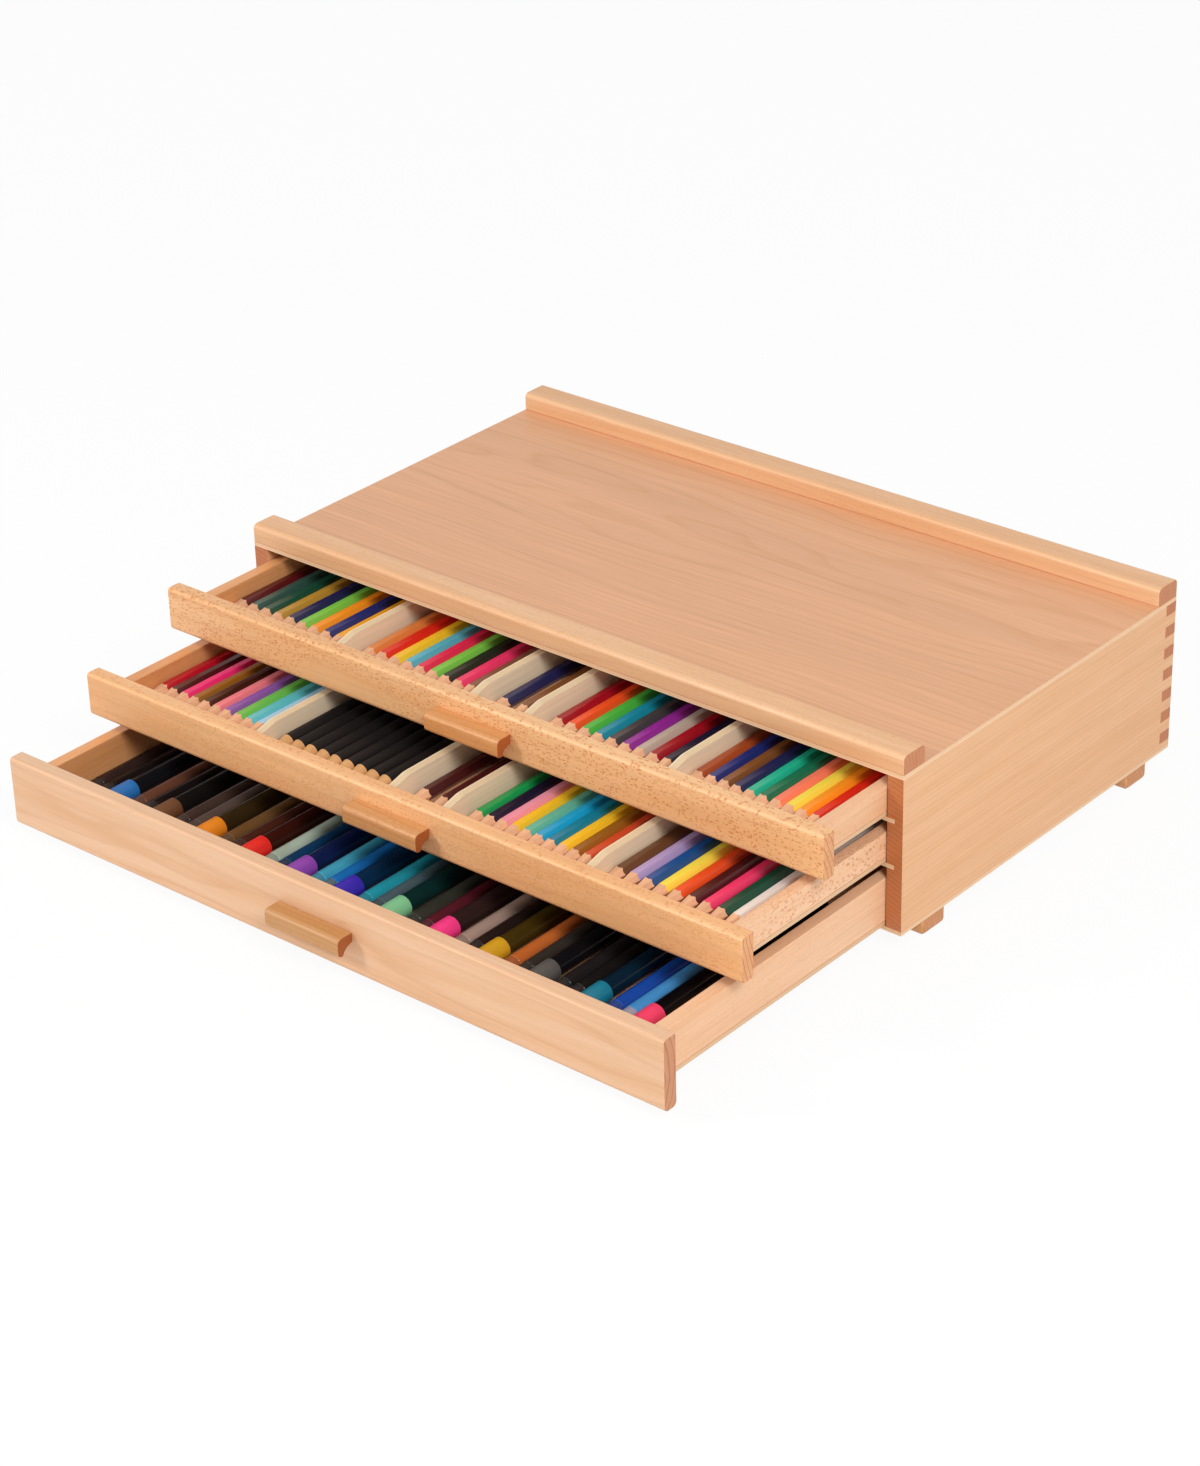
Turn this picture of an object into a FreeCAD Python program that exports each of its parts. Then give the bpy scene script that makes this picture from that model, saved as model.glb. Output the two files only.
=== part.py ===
"""Pencil drawer box: a beech case on four feet with three drawers full of pencils and pens.

Frame: +Z up, drawers open towards -Y. The origin is on the surface that the feet stand on,
below the middle of the box as it stands with its drawers part open. All lengths are in mm.
"""
import FreeCAD, Part
import math
import os

import Sketcher

# Driving dimensions: name, size in mm (or a count), what it is.
SIZES = [
    ("case_width", 400, "case across the drawers"),
    ("case_depth", 224, "case from front edge to back"),
    ("board", 8.5, "solid beech of the case sides and back"),
    ("ply", 2.2, "thin plywood of panels, shelves and drawer bottoms"),
    ("slim_space", 21.4, "clear height of each of the two upper drawer bays"),
    ("deep_space", 31, "clear height of the bottom drawer bay"),
    ("groove_depth", 4, "how far each shelf goes into the case sides"),
    ("back_fingers", 7, "fingers of the back that show on each side"),
    ("strip_width", 16, "front and rear strips on the top"),
    ("strip_height", 9.5, "height of the strips"),
    ("strip_round", 2, "rounding along the strips' upper edges"),
    ("foot_height", 9.5, "feet below the bottom panel"),
    ("foot_length", 17, "feet from front to back"),
    ("foot_width", 15, "feet from side to side"),
    ("foot_round", 2.5, "rounding of the feet's lower edges"),
    ("foot_inset", 18.5, "case front or back to the nearest foot"),
    ("foot_side_inset", 0.8, "case side to the feet"),
    ("wall", 6.5, "drawer sides and backs"),
    ("side_play", 0.8, "gap between a drawer and the case side"),
    ("run_play", 0.3, "gap under a drawer"),
    ("wall_clearance", 6.1, "drawer walls to the shelf or panel above"),
    ("drawer_depth", 213, "drawer behind its front board"),
    ("front_board", 8, "thickness of the drawer fronts"),
    ("front_overhang", 1, "drawer fronts past the case sides"),
    ("front_gap", 0.6, "gap above each drawer front"),
    ("front_drop", 3.5, "bottom drawer front below the bottom panel"),
    ("front_round", 2.5, "rounding of the fronts' lower edges"),
    ("front_top_round", 1.8, "rounding of the fronts' upper front edge"),
    ("pull_width", 45.5, "finger pull across the front"),
    ("pull_out", 9.5, "finger pull out of the front board"),
    ("pull_height", 9.5, "finger pull from top to lip"),
    ("pull_root", 5, "height of the finger pull where it meets the front"),
    ("pull_cove", 6.5, "radius of the hollow behind the lip"),
    ("pull_round", 1.6, "rounding of the lip's outer edges"),
    ("slim_pull_below_top", 8.3, "slim front's top edge to its finger pull"),
    ("deep_pull_below_top", 14, "deep front's top edge to its finger pull"),
    ("middle_bay", 29, "clear width of the narrow bay in the slim drawers"),
    ("wide_bay", 81.5, "clear width of the bays beside the narrow one"),
    ("divider", 4.2, "thickness of the slim drawers' dividers"),
    ("divider_bevel_length", 20, "bevel at the dividers' front end"),
    ("divider_bevel_drop", 5, "how far that bevel comes down"),
    ("pencil_flats", 6, "pencil across its flats"),
    ("pencil_barrel", 152, "painted length of a pencil"),
    ("pencil_point", 23, "sharpened length of a pencil"),
    ("pencil_lead", 1.2, "pencil across its very tip"),
    ("charcoal_diameter", 7.6, "round charcoal pencil"),
    ("outer_row_start", 0.4, "left side of an outer bay to its first pencil"),
    ("inner_row_start", 3, "left side of an inner bay to its first pencil"),
    ("row_end", 7, "last pencil of a row to the right side of its bay"),
    ("row_gap", 0.1, "least gap between neighbours in a row"),
    ("front_clearance", 1, "drawer front to the tips of what lies in it"),
    ("slim_pen_diameter", 8.1, "slim pen"),
    ("slim_pen_length", 172, "slim pen from end to end"),
    ("slim_pen_nose", 6, "tapered front end of a slim pen"),
    ("cap_diameter", 10.3, "cap of a felt pen"),
    ("cap_length", 33, "cap of a felt pen"),
    ("cap_wall", 1.1, "wall of that cap"),
    ("barrel_diameter", 9.4, "barrel of a felt pen"),
    ("barrel_length", 117, "barrel of a felt pen behind its cap"),
    ("end_plug_length", 8, "plug at the back of a felt pen"),
    ("cap_fit", 0.05, "gap between a felt pen's neck and its cap"),
    ("pen_group_gap", 2.9, "felt pen to the slim pen on its right"),
    ("top_drawer_out", 52, "top drawer: case front to the back of its front board"),
    ("middle_drawer_out", 109, "middle drawer: the same"),
    ("bottom_drawer_out", 162, "bottom drawer: the same"),
]

# The five bays of each slim drawer from left to right, and how many more pencils each could take.
# One bay of the middle drawer holds round charcoal pencils.
BAYS = ("left", "centre_left", "centre", "centre_right", "right")
TOP_DRAWER_SPARE_COUNTS = (1, 1, 0, 1, 0)
MIDDLE_DRAWER_SPARE_COUNTS = (0, 0, 0, 0, 1)
CHARCOAL_BAY = "middle_drawer_centre_left"

# The points of a sketch's line or arc, as the sketcher numbers them, and its own origin.
START_INDEX, END_INDEX, CENTRE_INDEX = 1, 2, 3
ORIGIN = (-1, START_INDEX)

doc = FreeCAD.newDocument("pencil_drawer_box")
sheet = doc.addObject("Spreadsheet::Sheet", "sizes")
for row, (alias, size, note) in enumerate(SIZES, start=1):
    sheet.set(f"A{row}", str(size))
    sheet.setAlias(f"A{row}", alias)
    sheet.set(f"B{row}", note)
doc.recompute()

# Lengths that several pieces share, as expressions on the sheet.
SIDE_HEIGHT = "(sizes.deep_space + 2 * sizes.slim_space + 2 * sizes.ply)"
FINGER = f"({SIDE_HEIGHT} / (2 * sizes.back_fingers - 0.5))"
REACH = "(sizes.bottom_drawer_out + sizes.front_board + sizes.pull_out)"
CASE_FRONT = f"(({REACH} - sizes.case_depth) / 2)"
CASE_LEFT = "(-sizes.case_width / 2)"
SHELF_LENGTH = "(sizes.case_depth - sizes.board)"
SIDES_FROM = "(sizes.foot_height + sizes.ply)"
LOWER_SHELF = f"({SIDES_FROM} + sizes.deep_space)"
UPPER_SHELF = f"({LOWER_SHELF} + sizes.ply + sizes.slim_space)"
TOP_PANEL = f"({SIDES_FROM} + {SIDE_HEIGHT})"
DRAWER_HALF = "(sizes.case_width / 2 - sizes.board - sizes.side_play)"
INNER_HALF = f"({DRAWER_HALF} - sizes.wall)"
PENCIL_WIDTH = "(sizes.pencil_flats / cos(30 deg))"


# ---------------------------------------------------------------- document helpers
def place(piece, x, y, z):
    """Bind a piece's place to three expressions."""
    for axis, expression in zip("xyz", (x, y, z)):
        piece.setExpression(f".Placement.Base.{axis}", str(expression))


def block(name, size, corner):
    """A plain board: a Part box with its lengths and its lowest corner bound to the sheet."""
    piece = doc.addObject("Part::Box", name)
    for prop, expression in zip(("Length", "Width", "Height"), size):
        piece.setExpression(prop, expression)
    place(piece, *corner)
    return piece


def new_body(name):
    piece = doc.addObject("PartDesign::Body", name)
    piece.AllowCompound = True
    return piece


def new_sketch(body, name, role, offset=None):
    """A sketch on one of the body's own planes, moved along its normal by an expression."""
    plane = next(item for item in body.Origin.OriginFeatures if item.Role == role)
    sketch = body.newObject("Sketcher::SketchObject", f"{body.Name}_{name}")
    sketch.AttachmentSupport = [(plane, "")]
    sketch.MapMode = "FlatFace"
    if offset is not None:
        sketch.setExpression("AttachmentOffset.Base.z", offset)
    return sketch


def value(expression):
    return float(sheet.evalExpression(str(expression).replace("sizes.", "")))


def pin(sketch, geometry, point, where):
    """Hold one point of the sketch at two expressions from its origin; None leaves one free."""
    for kind, expression in zip(("DistanceX", "DistanceY"), where):
        if expression is None:
            continue
        constraint = Sketcher.Constraint(kind, *ORIGIN, geometry, point, value(expression))
        index = sketch.addConstraint(constraint)
        sketch.setExpression(f"Constraints[{index}]", str(expression))


def join(sketch, first, first_point, second, second_point):
    sketch.addConstraint(Sketcher.Constraint("Coincident", first, first_point, second, second_point))


def outline(sketch, corners):
    """A closed outline of straight edges through corners given as pairs of expressions."""
    points = [FreeCAD.Vector(value(x), value(y), 0) for x, y in corners]
    for start, end in zip(points, points[1:] + points[:1]):
        sketch.addGeometry(Part.LineSegment(start, end), False)
    for index, corner in enumerate(corners):
        pin(sketch, index, START_INDEX, corner)
        join(sketch, index, END_INDEX, (index + 1) % len(corners), START_INDEX)


def rectangle(sketch, low, high):
    outline(sketch, [low, (high[0], low[1]), high, (low[0], high[1])])


def hexagon(sketch, flats):
    corner = f"({flats} / 2 / cos(30 deg))"
    outline(sketch, [(f"{corner} * cos({60 * turn} deg)", f"{corner} * sin({60 * turn} deg)")
                     for turn in range(6)])


def pad(body, sketch, name, length, reversed_side=False):
    feature = body.newObject("PartDesign::Pad", f"{body.Name}_{name}")
    feature.Profile = sketch
    feature.Reversed = reversed_side
    feature.setExpression("Length", length)
    body.Tip = feature
    return feature


def pocket(body, sketch, name, length, reversed_side=False):
    feature = body.newObject("PartDesign::Pocket", f"{body.Name}_{name}")
    feature.Profile = sketch
    feature.Reversed = reversed_side
    feature.setExpression("Length", length)
    body.Tip = feature
    return feature


def revolve(body, sketch, name):
    """A turned piece: the sketch's outline about the sketch's own horizontal axis."""
    feature = body.newObject("PartDesign::Revolution", f"{body.Name}_{name}")
    feature.Profile = sketch
    feature.ReferenceAxis = (sketch, ["H_Axis"])
    feature.Angle = 360
    body.Tip = feature
    return feature


def repeat(body, features, name, sketch, axis, pitch, count):
    """A row of the features along one axis of a sketch."""
    row = body.newObject("PartDesign::LinearPattern", f"{body.Name}_{name}")
    row.Originals = features
    row.Direction = (sketch, [axis])
    row.Mode = "Spacing"
    row.setExpression("Offset", pitch)
    row.setExpression("Occurrences", str(count))
    body.Tip = row
    return row


def round_edges(body, base, name, radius, chosen):
    """Fillet the edges of the base feature that the test picks by their middle point and direction."""
    doc.recompute()
    names = []
    for index, edge in enumerate(base.Shape.Edges, start=1):
        first, last = edge.Vertexes[0].Point, edge.Vertexes[-1].Point
        run = last - first
        if run.Length and chosen((first + last) / 2, run / run.Length):
            names.append(f"Edge{index}")
    feature = body.newObject("PartDesign::Fillet", f"{body.Name}_{name}")
    feature.Base = (base, names)
    feature.setExpression("Radius", radius)
    body.Tip = feature
    return feature


def near(first, second):
    return abs(first - second) < 1e-4


def label(piece, node):
    piece.Label = node
    return piece


# ---------------------------------------------------------------- case
def case_side(node, left):
    """A case side: solid beech with two shelf grooves inside and slots for the back's fingers."""
    body = label(new_body(node), node)
    face = new_sketch(body, "face", "YZ_Plane")
    rectangle(face, ("0", "0"), ("sizes.case_depth", SIDE_HEIGHT))
    pad(body, face, "panel", "sizes.board")

    inner = "sizes.board - sizes.groove_depth" if left else "0"
    outer = "sizes.board" if left else "sizes.groove_depth"
    for shelf, height in (("lower", LOWER_SHELF), ("upper", UPPER_SHELF)):
        groove = new_sketch(body, f"{shelf}_groove", "XZ_Plane")
        foot = f"({height} - {SIDES_FROM})"
        rectangle(groove, (inner, foot), (outer, f"{foot} + sizes.ply"))
        pocket(body, groove, f"{shelf}_shelf_groove", SHELF_LENGTH)

    slot = new_sketch(body, "finger_slot", "YZ_Plane")
    rectangle(slot, (SHELF_LENGTH, f"{SIDE_HEIGHT} - {FINGER}"), ("sizes.case_depth", SIDE_HEIGHT))
    cut = pocket(body, slot, "finger_slot_cut", "sizes.board", reversed_side=True)
    row = repeat(body, [cut], "finger_slots", slot, "V_Axis", f"2 * {FINGER}", "sizes.back_fingers")
    row.Reversed = True
    x = CASE_LEFT if left else "(sizes.case_width / 2 - sizes.board)"
    place(body, x, CASE_FRONT, SIDES_FROM)
    return body


def case_back():
    """The back: a board between the sides whose fingers go through them."""
    body = label(new_body("case_back"), "case_back")
    face = new_sketch(body, "face", "XZ_Plane")
    edge = "(sizes.case_width / 2 - sizes.board)"
    rectangle(face, (f"-{edge}", "0"), (edge, SIDE_HEIGHT))
    pad(body, face, "panel", "sizes.board", reversed_side=True)
    finger = new_sketch(body, "finger", "XZ_Plane")
    rectangle(finger, ("-sizes.case_width / 2", f"{SIDE_HEIGHT} - {FINGER}"),
              ("sizes.case_width / 2", SIDE_HEIGHT))
    first = pad(body, finger, "finger_pair", "sizes.board", reversed_side=True)
    row = repeat(body, [first], "fingers", finger, "V_Axis", f"2 * {FINGER}", "sizes.back_fingers")
    row.Reversed = True
    place(body, "0", f"{CASE_FRONT} + {SHELF_LENGTH}", SIDES_FROM)
    return body


def case_panels():
    full = ("sizes.case_width", "sizes.case_depth", "sizes.ply")
    shelf = ("sizes.case_width - 2 * sizes.board + 2 * sizes.groove_depth", SHELF_LENGTH, "sizes.ply")
    shelf_left = f"{CASE_LEFT} + sizes.board - sizes.groove_depth"
    return [
        label(block("bottom_panel", full, (CASE_LEFT, CASE_FRONT, "sizes.foot_height")), "bottom_panel"),
        label(block("top_panel", full, (CASE_LEFT, CASE_FRONT, TOP_PANEL)), "top_panel"),
        label(block("lower_shelf", shelf, (shelf_left, CASE_FRONT, LOWER_SHELF)), "lower_shelf"),
        label(block("upper_shelf", shelf, (shelf_left, CASE_FRONT, UPPER_SHELF)), "upper_shelf"),
    ]


def top_strip(node, y):
    """A strip on the top that keeps pencils from rolling off, with its upper edges rounded."""
    body = label(new_body(node), node)
    section = new_sketch(body, "section", "YZ_Plane")
    rectangle(section, ("0", "0"), ("sizes.strip_width", "sizes.strip_height"))
    bar = pad(body, section, "bar", "sizes.case_width")
    top = value("sizes.strip_height")
    round_edges(body, bar, "rounding", "sizes.strip_round",
                lambda middle, run: near(middle.z, top))
    place(body, CASE_LEFT, y, f"{TOP_PANEL} + sizes.ply")
    return body


def foot(node, x, y):
    """A small beech block under the bottom panel, its lower edges rounded."""
    body = label(new_body(node), node)
    base = new_sketch(body, "base", "XY_Plane")
    rectangle(base, ("0", "0"), ("sizes.foot_width", "sizes.foot_length"))
    cube = pad(body, base, "block", "sizes.foot_height")
    round_edges(body, cube, "rounding", "sizes.foot_round",
                lambda middle, run: near(middle.z, 0))
    place(body, x, y, "0")
    return body


def feet():
    left = f"{CASE_LEFT} + sizes.foot_side_inset"
    right = "sizes.case_width / 2 - sizes.foot_side_inset - sizes.foot_width"
    front = f"{CASE_FRONT} + sizes.foot_inset"
    rear = f"{CASE_FRONT} + sizes.case_depth - sizes.foot_inset - sizes.foot_length"
    return [foot(f"foot_{end}_{side}", x, y)
            for end, y in (("front", front), ("rear", rear))
            for side, x in (("left", left), ("right", right))]


def make_case():
    front_strip = top_strip("front_strip", CASE_FRONT)
    rear_strip = top_strip("rear_strip", f"{CASE_FRONT} + sizes.case_depth - sizes.strip_width")
    sides = [case_side("case_side_left", True), case_side("case_side_right", False)]
    return sides + [case_back()] + case_panels() + [front_strip, rear_strip] + feet()


# ---------------------------------------------------------------- drawers
class Drawer:
    """Where one drawer is and how high it is, as expressions on the sheet."""

    def __init__(self, name, shelf_top, space, front_low, pull_below_top):
        self.name = name
        self.front_back = f"({CASE_FRONT} - sizes.{name}_out)"
        self.bottom = f"({shelf_top} + sizes.run_play)"
        self.floor = f"({self.bottom} + sizes.ply)"
        self.wall_height = f"({space} - sizes.run_play - sizes.ply - sizes.wall_clearance)"
        self.front_low = front_low
        self.front_top = f"({shelf_top} + {space} - sizes.front_gap)"
        self.pull_top = f"({self.front_top} - {pull_below_top})"
        self.tips = f"({self.front_back} + sizes.front_clearance)"


DRAWERS = {
    "top": Drawer("top_drawer", f"({UPPER_SHELF} + sizes.ply)", "sizes.slim_space",
                  UPPER_SHELF, "sizes.slim_pull_below_top"),
    "middle": Drawer("middle_drawer", f"({LOWER_SHELF} + sizes.ply)", "sizes.slim_space",
                     LOWER_SHELF, "sizes.slim_pull_below_top"),
    "bottom": Drawer("bottom_drawer", SIDES_FROM, "sizes.deep_space",
                     "(sizes.foot_height - sizes.front_drop)", "sizes.deep_pull_below_top"),
}


def drawer_box(drawer):
    """Bottom, two sides and a back, glued and pinned."""
    name = drawer.name
    width = f"2 * {DRAWER_HALF}"
    inner_width = f"2 * {INNER_HALF}"
    back_y = f"{drawer.front_back} + sizes.drawer_depth - sizes.wall"
    wall = ("sizes.wall", "sizes.drawer_depth", drawer.wall_height)
    back = (inner_width, "sizes.wall", drawer.wall_height)
    bottom = (width, "sizes.drawer_depth", "sizes.ply")
    pieces = [
        block(f"{name}_bottom", bottom, (f"-{DRAWER_HALF}", drawer.front_back, drawer.bottom)),
        block(f"{name}_side_left", wall, (f"-{DRAWER_HALF}", drawer.front_back, drawer.floor)),
        block(f"{name}_side_right", wall, (INNER_HALF, drawer.front_back, drawer.floor)),
        block(f"{name}_back", back, (f"-{INNER_HALF}", back_y, drawer.floor)),
    ]
    return [label(piece, piece.Name) for piece in pieces]


def drawer_front(drawer):
    """The overlaid front board, with both lower edges and the upper front edge rounded."""
    node = f"{drawer.name}_front"
    body = label(new_body(node), node)
    section = new_sketch(body, "section", "YZ_Plane")
    height = f"({drawer.front_top} - {drawer.front_low})"
    rectangle(section, ("-sizes.front_board", "0"), ("0", height))
    board = pad(body, section, "board", "sizes.case_width + 2 * sizes.front_overhang")
    top = value(height)
    face = value("-sizes.front_board")
    lower = round_edges(body, board, "lower_rounding", "sizes.front_round",
                        lambda middle, run: near(middle.z, 0) and near(abs(run.x), 1))
    round_edges(body, lower, "upper_rounding", "sizes.front_top_round",
                lambda middle, run: near(middle.z, top) and near(middle.y, face))
    place(body, f"{CASE_LEFT} - sizes.front_overhang", drawer.front_back, drawer.front_low)
    return body


def finger_pull(drawer):
    """A short moulding glued to the front: a hanging lip with a hollow behind it for fingertips."""
    node = f"{drawer.name}_pull"
    body = label(new_body(node), node)
    section = new_sketch(body, "section", "YZ_Plane")
    out, tall, root, cove = "sizes.pull_out", "sizes.pull_height", "sizes.pull_root", "sizes.pull_cove"
    cove_z = f"(-{root} - {cove})"
    lip = f"(-sqrt({cove} ^ 2 - ({tall} - {root} - {cove}) ^ 2))"
    corners = [("0", f"-{root}"), ("0", "0"), (f"-{out}", "0"), (f"-{out}", f"-{tall}"), (lip, f"-{tall}")]
    points = [FreeCAD.Vector(value(y), value(z), 0) for y, z in corners]
    for index, (start, end) in enumerate(zip(points, points[1:])):
        section.addGeometry(Part.LineSegment(start, end), False)
        pin(section, index, START_INDEX, corners[index])
    foot = len(corners) - 2
    for index in range(foot):
        join(section, index, END_INDEX, index + 1, START_INDEX)
    pin(section, foot, END_INDEX, (None, f"-{tall}"))
    centre = FreeCAD.Vector(0, value(cove_z), 0)
    circle = Part.Circle(centre, FreeCAD.Vector(0, 0, 1), value(cove))
    end_angle = math.atan2(points[-1].y - centre.y, points[-1].x)
    hollow = section.addGeometry(Part.ArcOfCircle(circle, math.pi / 2, end_angle), False)
    join(section, hollow, START_INDEX, 0, START_INDEX)
    join(section, hollow, END_INDEX, foot, END_INDEX)
    pin(section, hollow, CENTRE_INDEX, ("0", cove_z))

    moulding = pad(body, section, "moulding", "sizes.pull_width")
    front = value(f"-{out}")
    round_edges(body, moulding, "rounding", "sizes.pull_round",
                lambda middle, run: near(middle.y, front))
    place(body, "-sizes.pull_width / 2", f"{drawer.front_back} - sizes.front_board", drawer.pull_top)
    return body


# The bays' edges, from the middle of a drawer outwards.
BAY_EDGE = "(sizes.middle_bay / 2)"
OUTER_EDGE = f"({BAY_EDGE} + sizes.divider + sizes.wide_bay)"
BAY_EDGES = (
    (f"(-{INNER_HALF})", f"(-{OUTER_EDGE} - sizes.divider)"),
    (f"(-{OUTER_EDGE})", f"(-{BAY_EDGE} - sizes.divider)"),
    (f"(-{BAY_EDGE})", BAY_EDGE),
    (f"({BAY_EDGE} + sizes.divider)", OUTER_EDGE),
    (f"({OUTER_EDGE} + sizes.divider)", INNER_HALF),
)


def dividers(drawer):
    """Four plywood dividers, each bevelled at its front end."""
    length = "(sizes.drawer_depth - sizes.wall)"
    made = []
    for index, (_, x) in enumerate(BAY_EDGES[:-1], start=1):
        node = f"{drawer.name}_divider_{index}"
        body = label(new_body(node), node)
        face = new_sketch(body, "face", "YZ_Plane")
        outline(face, [("0", "0"), (length, "0"), (length, drawer.wall_height),
                       ("sizes.divider_bevel_length", drawer.wall_height),
                       ("0", f"{drawer.wall_height} - sizes.divider_bevel_drop")])
        pad(body, face, "sheet", "sizes.divider")
        place(body, x, drawer.front_back, drawer.floor)
        made.append(body)
    return made


# ---------------------------------------------------------------- pencils and pens
def spread_row(bay, width, spare):
    """First axis, pitch and count of a row of loose pencils of one width, spread out in its bay."""
    left_edge, right_edge = bay
    outer = bay in (BAY_EDGES[0], BAY_EDGES[-1])
    start = f"({left_edge} + sizes.{'outer' if outer else 'inner'}_row_start)"
    room = f"({right_edge} - sizes.row_end - {start})"
    count = f"(floor(({room} + sizes.row_gap) / ({width} + sizes.row_gap)) - {spare})"
    pitch = f"(({room} - {width}) / max({count} - 1; 1))"
    return f"{start} + {width} / 2", pitch, count


def pencil_row(node, drawer, bay, spare):
    """A row of hexagonal pencils with their points to the front."""
    body = label(new_body(node), node)
    section = new_sketch(body, "section", "XZ_Plane")
    hexagon(section, "sizes.pencil_flats")
    barrel = pad(body, section, "barrel", "sizes.pencil_barrel", reversed_side=True)
    tip = new_sketch(body, "tip", "XZ_Plane", offset="sizes.pencil_point")
    hexagon(tip, "sizes.pencil_lead")
    point = body.newObject("PartDesign::AdditiveLoft", f"{node}_point")
    point.Profile = section
    point.Sections = [tip]
    first, pitch, count = spread_row(bay, PENCIL_WIDTH, spare)
    repeat(body, [barrel, point], "row", section, "H_Axis", pitch, count)
    place(body, first, f"{drawer.tips} + sizes.pencil_point", f"{drawer.floor} + sizes.pencil_flats / 2")
    return body


def charcoal_row(node, drawer, bay, spare):
    """A row of round charcoal pencils, turned to a point at the front."""
    body = label(new_body(node), node)
    profile = new_sketch(body, "profile", "YZ_Plane")
    radius, lead = "sizes.charcoal_diameter / 2", "sizes.pencil_lead / 2"
    end = "(sizes.pencil_point + sizes.pencil_barrel)"
    outline(profile, [("0", "0"), (end, "0"), (end, radius), ("sizes.pencil_point", radius), ("0", lead)])
    turned = revolve(body, profile, "turned")
    across = new_sketch(body, "across", "XZ_Plane")
    first, pitch, count = spread_row(bay, "sizes.charcoal_diameter", spare)
    repeat(body, [turned], "row", across, "H_Axis", pitch, count)
    place(body, first, drawer.tips, f"{drawer.floor} + {radius}")
    return body


def pencils(drawer, spare_counts):
    """One row of pencils in each bay of a slim drawer."""
    rows = []
    for name, bay, spare in zip(BAYS, BAY_EDGES, spare_counts):
        kind = charcoal_row if f"{drawer.name}_{name}" == CHARCOAL_BAY else pencil_row
        rows.append(kind(f"{drawer.name}_pencils_{name}", drawer, bay, spare))
    return rows


PEN_GROUP = "(sizes.cap_diameter + 2 * sizes.slim_pen_diameter + 2 * sizes.row_gap)"
PEN_PITCH = f"({PEN_GROUP} + sizes.pen_group_gap)"
FIRST_SLIM_PEN = f"(-{INNER_HALF} + sizes.row_gap + sizes.slim_pen_diameter / 2)"
SECOND_SLIM_PEN = f"({FIRST_SLIM_PEN} + sizes.slim_pen_diameter + sizes.row_gap)"
FIRST_FELT_PEN = f"({SECOND_SLIM_PEN} + (sizes.slim_pen_diameter + sizes.cap_diameter) / 2 + sizes.row_gap)"


def turned_row(node, drawer, outline_points, first, axis_height, pitch, count):
    """A row of turned pieces whose profile runs back from the front of the drawer."""
    body = label(new_body(node), node)
    profile = new_sketch(body, "profile", "YZ_Plane")
    outline(profile, outline_points)
    turned = revolve(body, profile, "turned")
    across = new_sketch(body, "across", "XZ_Plane")
    repeat(body, [turned], "row", across, "H_Axis", pitch, count)
    place(body, first, drawer.tips, f"{drawer.floor} + {axis_height}")
    return body


def pens(drawer):
    """Felt pens with coloured caps, and two slim pens to the left of each."""
    count = f"floor(2 * {INNER_HALF} / {PEN_PITCH})"
    felt_axis = "sizes.cap_diameter / 2"
    cap_r, barrel_r = "sizes.cap_diameter / 2", "sizes.barrel_diameter / 2"
    bore_r = f"({cap_r} - sizes.cap_wall)"
    neck_r = f"({bore_r} - sizes.cap_fit)"
    mouth = "sizes.cap_length"
    cap = [("0", "0"), ("0", cap_r), (mouth, cap_r), (mouth, bore_r), ("sizes.cap_wall", bore_r),
           ("sizes.cap_wall", "0")]
    end = f"({mouth} + sizes.barrel_length)"
    plug = f"({end} - sizes.end_plug_length)"
    inside = f"({mouth} / 2)"
    barrel = [(inside, "0"), (inside, neck_r), (mouth, neck_r), (mouth, barrel_r), (plug, barrel_r),
              (plug, cap_r), (end, cap_r), (end, "0")]
    slim_r = "sizes.slim_pen_diameter / 2"
    slim = [("0", "0"), ("0", f"{slim_r} / 2"), ("sizes.slim_pen_nose", slim_r),
            ("sizes.slim_pen_length", slim_r), ("sizes.slim_pen_length", "0")]
    return [
        turned_row("felt_pen_caps", drawer, cap, FIRST_FELT_PEN, felt_axis, PEN_PITCH, count),
        turned_row("felt_pen_barrels", drawer, barrel, FIRST_FELT_PEN, felt_axis, PEN_PITCH, count),
        turned_row("slim_pens_first", drawer, slim, FIRST_SLIM_PEN, slim_r, PEN_PITCH, count),
        turned_row("slim_pens_second", drawer, slim, SECOND_SLIM_PEN, slim_r, PEN_PITCH, count),
    ]


def make_drawers():
    pieces = []
    for drawer in DRAWERS.values():
        pieces += drawer_box(drawer) + [drawer_front(drawer), finger_pull(drawer)]
    for name, spare_counts in (("top", TOP_DRAWER_SPARE_COUNTS), ("middle", MIDDLE_DRAWER_SPARE_COUNTS)):
        pieces += dividers(DRAWERS[name]) + pencils(DRAWERS[name], spare_counts)
    return pieces + pens(DRAWERS["bottom"])


# ---------------------------------------------------------------- check and write
def check(pieces):
    for item in doc.Objects:
        if {"Invalid", "Error"} & set(item.State):
            raise RuntimeError(f"{item.Label} did not recompute: {item.State}")
    for piece in pieces:
        if piece.Shape.isNull() or not piece.Shape.isValid():
            raise RuntimeError(f"{piece.Label} has no valid shape")


def write(pieces):
    os.makedirs("parts", exist_ok=True)
    for piece in pieces:
        piece.Shape.exportStep(os.path.join("parts", f"{piece.Label}.step"))


nodes = make_case() + make_drawers()
doc.recompute()
check(nodes)
write(nodes)
box = FreeCAD.BoundBox()
for node in nodes:
    box.add(node.Shape.BoundBox)
print(f"{len(nodes)} nodes, {sum(len(node.Shape.Solids) for node in nodes)} solids")
print(f"x {box.XMin:.2f}..{box.XMax:.2f}  y {box.YMin:.2f}..{box.YMax:.2f}  z {box.ZMin:.2f}..{box.ZMax:.2f}")
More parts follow.
